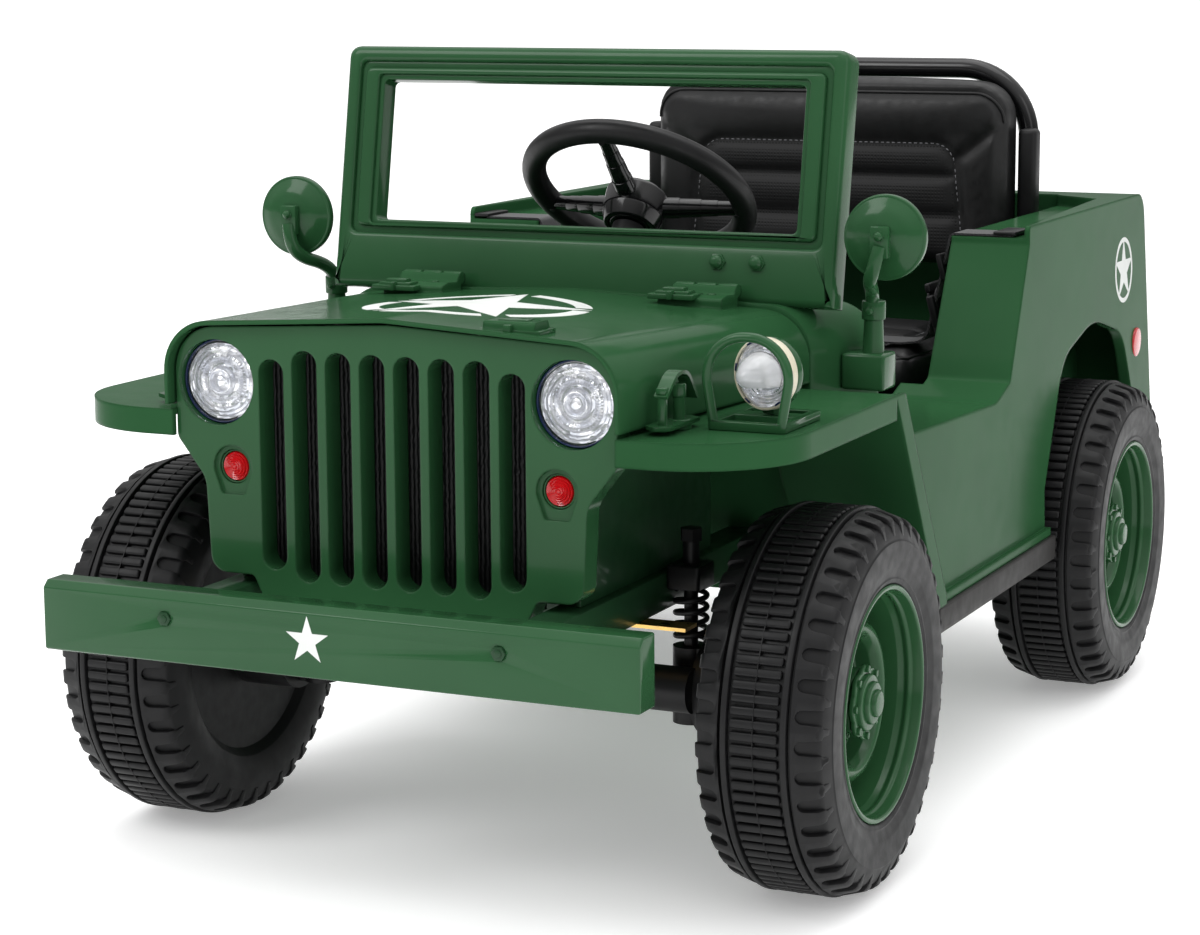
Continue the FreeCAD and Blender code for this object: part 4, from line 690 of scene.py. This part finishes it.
# Lamps
def faceted_bowl(radius, depth):
    """A reflector with four petals, concentric rings and fine ribs, looking along X."""
    neck, rings = 8, 12
    profile = [(0, 0), (1.2, 2.5), (0, 5), (-2.0, neck)]
    profile += [(-2.0 + 0.9 * (ring % 2) + depth * (ring / rings) ** 2, neck + (radius - neck) * ring / rings)
                for ring in range(1, rings + 1)]
    bm = spun(profile, 96)
    for vert in bm.verts:
        reach = math.hypot(vert.co.y, vert.co.z)
        if reach > neck + 1:
            angle = math.atan2(vert.co.y, vert.co.z)
            petal = math.cos(4 * angle) * 0.09 * (reach - neck - 1)
            rib = 0.5 * math.cos(48 * angle) if 0.45 < reach / radius < 0.62 else 0
            vert.co.x += petal + rib
    return bm


def lamp_seat(node, set_back):
    """A round lamp's radius, and the place of its shapes behind its front."""
    low, high = corners(node)
    spot = middle(node)
    return (high.z - low.z) / 2, at(spot.x, low.y + set_back, spot.z) @ FACING


def add_headlamps():
    for side, _ in SIDES:
        radius, place = lamp_seat("headlamp_" + side, 9)
        lens = lathe([(-9, 0), (-9, radius - 2), (-4, radius - 1.4), (0.5, radius - 1.8, 1.5),
                      (4.6, radius * 0.62, 40), (7.6, radius * 0.28, 30), (8.4, 0)], 6, 96)
        finished("headlamp_lens_" + side, moved(lens, place), CLEAR, "headlamp_" + side)
        bowl = moved(faceted_bowl(radius - 3.2, 3.4), at(-3.2, 0, 0))
        bulb = lathe([(-4, 8.5), (1.5, 8.2, 0.6), (1.5, 6.8, 0.6), (-1.5, 6.2), (0.6, 3.5, 4), (1.6, 0)],
                     5, 48)
        rim = lathe([(-12, radius - 2.4), (-12, radius), (1.6, radius, 0.8), (1.6, radius - 1.3, 0.6),
                     (-6, radius - 1.5)], 5, 96, True)
        for name, shape, finish in (("bowl", bowl, SILVER), ("bulb", bulb, SILVER), ("rim", rim, BLUE_EDGE)):
            finished(f"headlamp_{name}_{side}", moved(shape, place), finish)


def add_markers():
    for side, _ in SIDES:
        radius, place = lamp_seat("marker_lamp_" + side, 3)
        rings = [(0.9 * (ring % 2) + 3.4 * (1 - (ring / 12) ** 2), (radius - 1.4) * ring / 12)
                 for ring in range(12)]
        lens = spun([(-8, 0), (-8, radius - 1.3), (-0.5, radius - 1.3)] + rings[::-1], 72)
        finished("marker_lens_" + side, moved(lens, place), RED, "marker_lamp_" + side)
        rim = lathe([(-10, radius - 1.6), (-10, radius), (1.2, radius, 0.5), (1.2, radius - 1.2, 0.5),
                     (-2, radius - 1.3)], 3, 72, True)
        finished("marker_rim_" + side, moved(rim, place), GREEN)


# Body panels
PAINTED = {"tub": TUB_GREEN, "wing_left": TUB_GREEN, "wing_right": TUB_GREEN, "bonnet": SHELL_GREEN,
           "cowl": SHELL_GREEN, "grille_panel": PANEL_GREEN, "grille_mesh": MESH}
# The front frame and engine bay sides take the darker green, which is painted shade.
DRESSED = {"front_bumper": (GREEN, 1.5), "lamp_guard": (GREEN, 0.5), "front_frame": (SHADED_GREEN, 1.0),
           "engine_bay_sides": (SHADED_GREEN, 0.8), "sill_left": (STEP_BLACK, 1.6),
           "sill_right": (STEP_BLACK, 1.6), "dashboard": (BLACK, 1.0), "seat_base": (BLACK, 1.0),
           "king_pin_blocks": (BLACK, 1.0), "foot_pedal": (BLACK, 1.0)}


def add_panels():
    for node, finish in PAINTED.items():
        paint(node, finish)
    for node, (finish, edge) in DRESSED.items():
        dressed(node, finish, edge)


# Stars and rings lie a hair above the surface they are printed on
PRINT_RISE, PRINT_ROOT = 0.18, 0.25
PRINT_REACH = 40
STAR_TIP = 90    # the heading of a star's upper tip in degrees


def surface_of(node):
    """A search tree in millimetres over a CAD node's mesh."""
    bm = millimetre_copy(frame["nodes"][node].data)
    tree = BVHTree.FromBMesh(bm)
    bm.free()
    return tree


def polar(radius, degrees):
    angle = math.radians(degrees)
    return radius * math.cos(angle), radius * math.sin(angle)


def star_outline(radius):
    """A five-pointed star with one tip up."""
    inner = radius * math.cos(math.radians(72)) / math.cos(math.radians(36))
    return [polar(inner if index % 2 else radius, STAR_TIP + 36 * index) for index in range(10)]


def stencil_ring(outer, inner, gap):
    """Five arcs of a ring, broken at the tips of a star."""
    arcs = []
    for index in range(5):
        start, end = STAR_TIP + 72 * index + gap, STAR_TIP + 72 * (index + 1) - gap
        headings = [start + (end - start) * step / 14 for step in range(15)]
        arcs.append([polar(outer, heading) for heading in headings]
                    + [polar(inner, heading) for heading in reversed(headings)])
    return arcs


def printed(name, outlines, spot, facing, node, cell=5.0):
    """Flat marks moved onto a surface. facing takes the marks' plane XY, seen from +Z, to the surface."""
    bm = bmesh.new()
    for outline in outlines:
        bm.faces.new([bm.verts.new((across, up, 0)) for across, up in outline])
    bm.normal_update()
    bmesh.ops.triangulate(bm, faces=bm.faces)
    reach = max(vert.co.length for vert in bm.verts)
    for axis in (Vector((1, 0, 0)), Vector((0, 1, 0))):
        for step in range(int(-reach / cell), int(reach / cell) + 1):
            cut_at(bm, axis * step * cell, axis)
    outward(bm)
    place, tree = at(*spot) @ facing, surface_of(node)
    down = (facing @ Vector((0, 0, -1))).normalized()
    upper = set(pulled(bm, bm.faces[:], (0, 0, 0)))
    for vert in bm.verts:
        start = place @ vert.co - down * PRINT_REACH
        hit = tree.ray_cast(start, down, 3 * PRINT_REACH)[0] or start + down * PRINT_REACH
        vert.co = hit - down * (PRINT_RISE if vert in upper else -PRINT_ROOT)
    finished(name, outward(bm), MARKING)


def add_marks():
    centre = (-1.5, ahead(27), middle("bonnet").z)
    printed("bonnet_star", [star_outline(81)], centre, Matrix(), "bonnet")
    printed("bonnet_ring", stencil_ring(81, 69, 7), centre, Matrix(), "bonnet")
    front_face = corners("front_bumper")[0].y
    printed("bumper_star", [star_outline(16.5)], (-15, front_face, 204), turned(90, "X"), "front_bumper", 8)
    sideways, spot = turned(90, "Z") @ turned(90, "X"), (262, behind(749.5), 357.4)
    printed("side_star", [star_outline(29)], spot, sideways, "tub", 20)
    printed("side_ring", stencil_ring(29.5, 25.4, 0), spot, sideways, "tub", 20)


# Windscreen, hinges and catches
SCREEN = at(0, behind(126), 389) @ turned(-10.1, "X")


def add_windscreen():
    """A rounded border, a groove, a raised band and a step round the opening, one inside the other."""
    sizes = ((206.5, 0, 187, 9, 1), (194.5, 42.6, 175, 6, 6), (189.5, 47.6, 170, 5, 5),
             (178, 49.4, 165, 4, 4), (174, 53, 161, 4, 4))
    outlines = [box_outline(*size) for size in sizes]
    depths = ((0, 22, 5.6, 3.2), (4, 18, 0.3, 0.3), (0, 22, 2.2, 1.6), (3, 21, 0.3, 1.2))
    rings = [framed(outer, inner, *depth) for outer, inner, depth in zip(outlines, outlines[1:], depths)]
    finished("windscreen", moved(joined(*rings), SCREEN), GREEN, "windscreen_frame")
    spots = [SCREEN @ at(across, 0.4, 30.5) @ FACING for across in (115, 146)]
    finished("windscreen_bolts", joined((dome_bolt(), spots)), GREEN)


def catch(width, depth, height):
    """A low stepped block: a base, a narrower step, a round-edged top and a lip in front."""
    steps = ((0.5, -0.5, 0.5, -2, 0.3, 0.8), (0.37, -0.36, 0.36, -1, 0.62, 1.1),
             (0.24, -0.24, 0.24, 0, 1, 1.4), (0.06, -0.62, -0.2, -2, 0.7, 0.9))
    return joined(*[brick((-width * side, depth * front, low),
                          (width * side, depth * back, height * top), edge)
                    for side, front, back, low, top, edge in steps])


def add_bonnet_fittings():
    skin, seam, clear_above = surface_of("bonnet"), corners("cowl")[1].z, 600
    clasps = []
    sizes = ((89, ahead(148), 46, 24, 9), (-125, behind(84), 36, 20, 6.5), (100, behind(88), 36, 20, 6.5))
    for across, station, width, depth, height in sizes:
        top = skin.ray_cast((across + 24, station, clear_above), (0, 0, -1))[0].z
        clasps.append(moved(catch(width, depth, height), at(across, station, top + 0.3)))
    finished("bonnet_clasps", joined(*clasps), GREEN)
    knuckle = lathe([(0, 0), (0, 5.2, 1), (15.2, 5.2, 1), (15.2, 0)], 3, 32)
    knuckles, screws = [], []
    for hand in HANDS:
        start = 113 * hand - 25
        knuckles += [at(start + 17 * index + 0.4, behind(117.5), seam + 4) for index in range(3)]
        screws += [at(start + 13 + 24 * index, behind(97), seam + 2.2) @ UPWARD for index in range(2)]
    finished("bonnet_hinges", joined((knuckle, knuckles), (pill(1.6, 3.2), screws)), GREEN)


# Mirrors
def add_mirrors():
    for side, hand in SIDES:
        mirror = at(243 * hand, behind(137), 441)
        head = lathe([(-3, 0), (-3, 31, 1.2), (3.2, 31, 1.4), (3.2, 28.8, 0.8), (8.0, 20.5, 26),
                      (10.6, 9, 24), (11, 0)], 4, 72)
        tab = brick((-7, -15.8, -14), (7, -9.5, 9), 1.2)
        screw = moved(dome_bolt(), at(0, -15.4, 2) @ FACING @ Matrix.Scale(0.62, 4))
        arm = pipe([(-19 * hand, 27, -61), (-18.4 * hand, 25, -48), (-15 * hand, 13, -38),
                    (-8 * hand, -12, -31), (-2 * hand, -17, -18), (0, -14, -6)], 5.2, 24)
        post = lathe([(-2, 0), (-2, 8.2), (25, 7.0), (25, 8.8, 1), (39, 8.8, 1), (39, 5), (39, 0)], 3, 48)
        collar_screw = moved(dome_bolt(), at(-18 * hand, 18.6, -56) @ FACING @ Matrix.Scale(0.55, 4))
        low, high = corners("mirror_" + side)
        inner = min(abs(low.x), abs(high.x))
        block = brick((inner + 1.2, behind(150), low.z), (238, behind(178), low.z + 27), 2.6, 3)
        if hand < 0:
            block = outward(moved(block, Matrix.Scale(-1, 4, (1, 0, 0))))
        shapes = joined(moved(head, FACING), tab, screw, arm, moved(post, at(-18 * hand, 27, -88) @ UPWARD),
                        collar_screw)
        finished("mirror_holder_" + side, joined(moved(shapes, mirror), block), GREEN, "mirror_" + side)
        glass = moved(pill(1.0, 28.4, 0.3, 72), mirror @ at(0, 2.6, 0) @ turned(90, "Z"))
        finished("mirror_glass_" + side, glass, GLASS)


# Lamp on the left wing
def add_wing_lamp():
    place = at(232, ahead(72), 369) @ turned(-105, "Z")
    housing = lathe([(-19, 0), (-19, 15, 4), (-13, 23.6, 5), (-6, 24.2, 0.8), (-6, 20), (-8, 0)], 4, 72)
    foot = brick((-14, -5, -27.2), (-5, 5, -20), 1.5)
    finished("wing_lamp_housing", moved(joined(housing, foot), place), GREEN, "wing_lamp")
    ring = lathe([(-6, 20.5), (-6, 24.3, 0.8), (0.6, 24.0, 0.8), (0.6, 22.4), (-5, 22)], 5, 72, True)
    bowl = moved(faceted_bowl(21.5, 3.0), at(-5, 0, 0))
    lens = lathe([(-5.4, 0), (-5.4, 22), (0.8, 22, 1), (3.6, 12, 22), (5.4, 0)], 5, 72)
    hood = lathe([(1, 0), (1, 15.5), (12, 12.4, 30), (22, 5.5, 12), (25, 0)], 5, 64)
    bmesh.ops.scale(hood, vec=(1, 1.1, 1), verts=hood.verts)
    cut_at(hood, (0, 0, -7), (0, 0, -1), clear_outer=True)
    bmesh.ops.holes_fill(hood, edges=[edge for edge in hood.edges if edge.is_boundary], sides=0)
    for name, shape, finish in (("ring", ring, CREAM), ("bowl", bowl, SILVER), ("lens", lens, CLEAR),
                                ("hood", hood, HOOD)):
        finished("wing_lamp_" + name, moved(shape, place), finish)
    dash = brick((-2.0, -0.6, -2.6), (1.4, 0.6, 2.6), 0.3, 1)
    dashes = [turned(heading, "X") @ at(0, 22.2, 0) for heading in (8, 62, 118, 172, 236, 304)]
    finished("wing_lamp_dashes", moved(joined((dash, dashes)), place), BLUE_EDGE)


# Steering wheel, built flat round the upright axis and leaned over with the column
STEERING = at(0, behind(249), 458) @ turned(-37, "X")
RING_RADIUS, GRIP_RADIUS, GRIP_NOTCH = 85, 9.5, 0.45
GRIP_STEPS, NOTCH_STEPS = 40, (3, 23)
SPOKE_HEADINGS = (-90, 12, 168)


def add_steering_wheel():
    section = []
    for index in range(GRIP_STEPS):
        angle = FULL_TURN * index / GRIP_STEPS
        reach = GRIP_RADIUS - (GRIP_NOTCH if index in NOTCH_STEPS else 0)
        section.append((reach * math.sin(angle), RING_RADIUS + reach * math.cos(angle)))
    ring = moved(spun(section, 120, True), UPWARD)
    dots = [turned(heading, "Z") @ at(81, 0, -8.8) @ turned(90, "Y") for heading in SPOKE_HEADINGS]
    finished("steering_ring", moved(joined(ring, (pill(0.9, 2.0, 0.3, 20), dots)), STEERING), BLACK,
             "steering_wheel", body="steering_wheel")
    spoke = lathe([(14, 0), (14, 8.4), (36, 8.2, 0.7), (36, 7.5), (53, 7.2, 0.7), (53, 6.6),
                   (66, 6.3, 0.7), (66, 5.8), (80, 5.6), (80, 0)], 2, 40)
    spokes = [turned(heading, "Z") @ at(0, 0, -15) @ turned(-9.35, "Y") for heading in SPOKE_HEADINGS]
    hub = lathe([(-32, 0), (-32, 15.5, 1), (-30.6, 16.4), (-32, 17.4), (-32, 20.5, 2), (-21, 24.6, 8),
                 (-3, 25, 2), (-1.4, 22), (1, 20, 2), (1, 0)], 4, 72)
    shaft = spun([(-64, 0), (-64, 7), (-30, 7), (-30, 0)], 32)
    shapes = joined((spoke, spokes), moved(hub, UPWARD), moved(shaft, UPWARD))
    finished("steering_spokes", moved(shapes, STEERING), GLOSS, body="steering_wheel")


# Roll bar with the plates that clip the seat back to its legs
def add_roll_bar():
    low, high = corners("roll_bar")
    station = (low.y + high.y) / 2
    line = [(spot.x, station, spot.y) for spot in arch(175, low.z, 175, high.z - 9, 62, 14)]
    finished("roll_bar_tube", pipe(line, 9, 40, order=2), GLOSS, "roll_bar")
    plates = [brick((180 * hand - 7.5, behind(690), 404), (180 * hand + 9.5, behind(709), 486), 4.5, 3)
              for hand in HANDS]
    finished("back_clips", joined(*plates), BLACK)


# Seat pads
CELL = 4.6
SEAM_DEPTH, SEAM_REACH, HELD_REACH = 5.5, 5, 2.6
CLOTH_STEPS = 20
PANEL_TOP = 112
STITCH_PITCH = 5.2


def line_gap(spot, line):
    """The distance of a flat spot from a line of points."""
    gaps = []
    for start, end in zip(line, line[1:]):
        run = end - start
        share = min(1, max(0, (spot - start).dot(run) / run.length_squared))
        gaps.append((start + run * share - spot).length)
    return min(gaps)


def swollen(item, held, cap):
    """Blows the pad up as cloth that is held at its seams, and caps how far a point moves."""
    before = [vert.co.copy() for vert in item.data.vertices]
    cloth = item.modifiers.new("stuffing", "CLOTH")
    cloth.settings.use_pressure = True
    cloth.settings.uniform_pressure_force = 4
    cloth.settings.quality = 6
    cloth.settings.tension_stiffness = cloth.settings.compression_stiffness = 12
    cloth.settings.vertex_group_mass = held.name
    cloth.settings.effector_weights.gravity = 0
    cloth.collision_settings.use_collision = False
    for step in range(1, CLOTH_STEPS + 1):
        scene.frame_set(step)
    result = applied(item)
    item.modifiers.remove(cloth)
    scene.frame_set(1)
    for vert, start in zip(result.vertices, before):
        move = vert.co - start
        if move.length > cap * MM:
            move *= cap * MM / move.length
        vert.co = start + move
    return result


def pad_shape(outline, depth, seams, limits, cap):
    """A stuffed pad in millimetres whose face looks to -Y, drawn in along its seams."""
    bm = slab(outline, depth, 11, 4)
    soften(bm, edges_at(bm, 1, depth), 7, 3)
    item = new_object("pad", mesh_of("pad", scaled(bm, MM)))
    cells = item.modifiers.new("cells", "REMESH")
    cells.mode = "VOXEL"
    cells.voxel_size = CELL * MM
    mesh = applied(item)
    item.modifiers.remove(cells)
    item.data = mesh
    held = item.vertex_groups.new(name="held")
    for vert in mesh.vertices:
        spot, deep = Vector((vert.co.x, vert.co.z)) / MM, vert.co.y / MM
        gap = min(line_gap(spot, line) for line in seams)
        if deep < depth * 0.45 and gap < SEAM_REACH:
            vert.co.y += SEAM_DEPTH * (1 - gap / SEAM_REACH) * MM
            if gap < HELD_REACH:
                held.add([vert.index], 1, "REPLACE")
        elif deep > depth - 1.5:
            held.add([vert.index], 1, "REPLACE")
    mesh = swollen(item, held, cap)
    for vert in mesh.vertices:
        vert.co = [min(top * MM, max(least * MM, part)) for part, least, top in zip(vert.co, *limits)]
    bm = millimetre_copy(mesh)
    bpy.data.objects.remove(item)
    bmesh.ops.smooth_vert(bm, verts=bm.verts, factor=0.4, use_axis_x=True, use_axis_y=True, use_axis_z=True)
    return bm


def on_face(tree, line, lift=0.0):
    """Points of a flat line laid on the pad's face."""
    hits = [tree.ray_cast((spot.x, -80, spot.y), (0, 1, 0))[0] for spot in line]
    return [Vector((spot.x, hit.y - lift, spot.y)) for spot, hit in zip(line, hits) if hit]


def even_steps(line, pitch):
    """Points and headings every so far along a flat line."""
    spots, left = [], 0.0
    for start, end in zip(line, line[1:]):
        run = end - start
        while left < run.length:
            spots.append((start + run * (left / run.length), math.degrees(math.atan2(run.y, run.x))))
            left += pitch
        left -= run.length
    return spots


def add_pad(name, node, bm, depth, edge_line, panel, place):
    """Finishes a stuffed pad: its perforated panel with a line of stitches, and its welt."""
    tree = BVHTree.FromBMesh(bm)
    piece = finished(name, moved(bm, place), LEATHER, node, sharp=180)
    piece.data.materials.append(PERFORATED.material)
    back = place.inverted()
    half = max(spot.x for spot in panel)
    bottom, top = min(spot.y for spot in panel), max(spot.y for spot in panel)
    for face in piece.data.polygons:
        spot = back @ (face.center / MM)
        slope = (top - spot.z) / (top - bottom)
        reach = min(half - 6, PANEL_TOP + (half - PANEL_TOP) * slope - 1)
        if abs(spot.x) < reach and bottom < spot.z < top - 3 and spot.y < depth * 0.4:
            face.material_index = 1
    finer = piece.modifiers.new("finer", "SUBSURF")
    finer.levels = finer.render_levels = 1
    stitch = brick((-1.5, -0.45, -0.5), (1.5, 0.45, 0.5), 0.35, 1)
    stitches = []
    for spot, heading in even_steps(panel, STITCH_PITCH):
        stitches += [place @ at(laid.x, laid.y - 0.3, laid.z) @ turned(-heading, "Y")
                     for laid in on_face(tree, [spot])]
    finished(name + "_stitches", joined((stitch, stitches)), THREAD)
    welt = [place @ spot for spot in on_face(tree, edge_line, 0.6)]
    finished(name + "_welt", pipe(welt, 1.5, 12, order=2), LEATHER)


def add_seat():
    low, high = corners("seat_back")
    depth = high.y - low.y
    outline = box_outline(high.x - 3, low.z + 2, high.z - 2, 32, 18, 8)
    edge_line = arch(166, low.z + 8, 166, 518, 26, 8)
    panel = arch(131, 376, 120, 473, 20, 6)
    seams = [edge_line, panel]
    seams += [[Vector((-reach, up)), Vector((reach, up))] for reach, up in ((119, 444), (124, 409))]
    seams += [[Vector((120 * hand, 455)), Vector((168 * hand, 493))] for hand in HANDS]
    limits = ((low.x - 1, -7, low.z), (high.x + 1, depth - 0.2, high.z + 1))
    add_pad("back_pad", "seat_back", pad_shape(outline, depth - 3, seams, limits, 24), depth - 3,
            edge_line, panel, at(0, low.y + 2, 0))
    low, high = corners("seat_cushion")
    depth, near, far = high.z - low.z, low.y + 3, high.y - 3
    outline = box_outline(high.x - 3, near, far, 12, 24, 8)
    edge_line = arch(160, far - 4, 160, near + 8, 22, 8)
    panel = arch(126, far - 6, 118, near + 36, 20, 6)
    seams = [edge_line, panel]
    seams += [[Vector((-122, near + reach)), Vector((122, near + reach))] for reach in (84, 132, 180)]
    seams += [[Vector((118 * hand, near + 46)), Vector((163 * hand, near + 22))] for hand in HANDS]
    limits = ((low.x - 1, -6, low.y - 1), (high.x + 1, depth - 0.1, high.y + 1))
    add_pad("cushion_pad", "seat_cushion", pad_shape(outline, depth - 2.5, seams, limits, 22), depth - 2.5,
            edge_line, panel, at(0, 0, high.z - 2) @ turned(-90, "X"))


# Lap belt
BELT_WIDTH = 36
BELT_LEAN = turned(-15, "Y")


def strap(points, across, thick=1.7):
    """A flat band along a line of points, as wide as the vector across."""
    bm = bmesh.new()
    grown = bmesh.ops.extrude_edge_only(bm, edges=chain(bm, points)[1])["geom"]
    spots = [item for item in grown if isinstance(item, bmesh.types.BMVert)]
    bmesh.ops.translate(bm, vec=across, verts=spots)
    outward(bm)
    bmesh.ops.solidify(bm, geom=bm.faces[:], thickness=thick)
    return outward(bm)


def add_belt():
    low, high = corners("seat_belt")
    near, half = low.y - 6, BELT_WIDTH / 2
    bands, plates = [], []
    for hand in HANDS:
        end = 0 if hand > 0 else 40
        line = rounded([(240, high.z), (187, high.z, 5), (166, 324, 12), (146, 321.4, 10), (end, 321.4)])
        bands.append(strap([(spot.x * hand, near, spot.y) for spot in line], (0, BELT_WIDTH, 0)))
        plates.append(brick((240 * hand - 16, near - 2, high.z - 0.5),
                            (240 * hand + 3, near + BELT_WIDTH + 2, high.z + 2.6), 1.4))
    adjuster = [brick((-1.6, -half - 4, up - 1.7), (3.2, half + 4, up + 1.7), 1.2) for up in (-9, 0, 9)]
    adjuster += [brick((-1.6, side - 2, -11), (3.2, side + 2, 11), 1.4) for side in (-half - 2.6, half + 2.6)]
    dome = lathe([(-3, 0), (-3, 15), (5.5, 13.5, 3), (7.5, 0)], 4, 48)
    bmesh.ops.scale(dome, vec=(1, 1.15, 1.25), verts=dome.verts)
    buckle = [brick((-2.4, side - 3.4, -16), (4.4, side + 3.4, 12), 2.2, 3) for side in (-half, half)]
    buckle += [brick((-2.4, -21, -24), (4.2, 21, -13), 2.2, 3), brick((-2.0, -19, 14), (3.4, 19, 22), 1.8, 3)]
    finished("belt_webbing", joined(*bands), WEBBING, "seat_belt")
    fittings = joined(*plates, moved(joined(*adjuster), at(180, near + half, 386) @ BELT_LEAN),
                      moved(joined(dome, *buckle), at(172.5, near + half, 350) @ BELT_LEAN))
    finished("belt_fittings", fittings, BLACK)


# Small pieces of the front end and the side
def add_latches():
    low = corners("bonnet_latches")[0].z
    for side, hand in SIDES:
        plate = slab(rounded([(-9, -14), (0, -19, 4), (9, -14), (9, 34), (0, 40, 4), (-9, 34)], closed=True),
                     3, 0.8)
        moved(plate, at(0, 0, 3) @ turned(90, "X"))
        foot = moved(pill(6.4, 8.2, 1.4), UPWARD)
        post = lathe([(5, 0), (5, 4.1), (21, 4.1, 0.5), (21, 4.7, 0.4), (30, 4.7, 1), (30, 0)], 3, 32)
        square = joined(brick((-2.6, -29.6, 1), (2.6, -24.4, 27), 0.8),
                        brick((-3.6, -30.6, 26), (3.6, -23.4, 30.4), 1))
        hook_line = rounded([(-31, 25), (-12, 40, 21), (6, 38, 17), (22, 19)], steps=8)
        hook = strap([(-4.6, spot.x, spot.y) for spot in hook_line], (9.2, 0, 0), 2.6)
        shapes = joined(plate, foot, moved(post, UPWARD), square, hook)
        moved(shapes, at(186 * hand, ahead(105), low))
        finished("latch_" + side, shapes, GREEN, "bonnet_latches" if hand > 0 else None)


def add_reflector():
    leaned = at(257.6, behind(793), 286.5) @ turned(1.5, "Y")
    finished("side_reflector", moved(pill(2.6, 13.4, 1.2), leaned), RED)


def add_bumper_bolts():
    spots = [at(124 * hand, corners("front_bumper")[0].y + 1.6, 209) @ FACING for hand in HANDS]
    # The bolts take the darker green, which is painted shade.
    finished("bumper_bolts", joined((bolt(5.2, 2.4), spots)), SHADED_GREEN)


add_camera()
add_stage()
add_light("key", (-1.6, -2.4, 2.6), (0, 0, 0.25), 1.6, 1.6, 38)
add_light("fill", (2.8, -1.2, 1.6), (0, 0, 0.25), 1.2, 2.0, 8)
add_light("top", (0.2, 0.3, 3.0), (0, 0, 0.2), 2.5, 2.0, 30)
scene.view_settings.view_transform = "Standard"
for node, slot in SLOT_OF_NODE.items():
    paint(node, FINISH_OF_SLOT[slot])
add_wheels()
add_headlamps()
add_markers()
add_panels()
add_windscreen()
add_bonnet_fittings()
add_mirrors()
add_wing_lamp()
add_steering_wheel()
add_roll_bar()
add_seat()
add_belt()
add_latches()
add_reflector()
add_bumper_bolts()
add_marks()
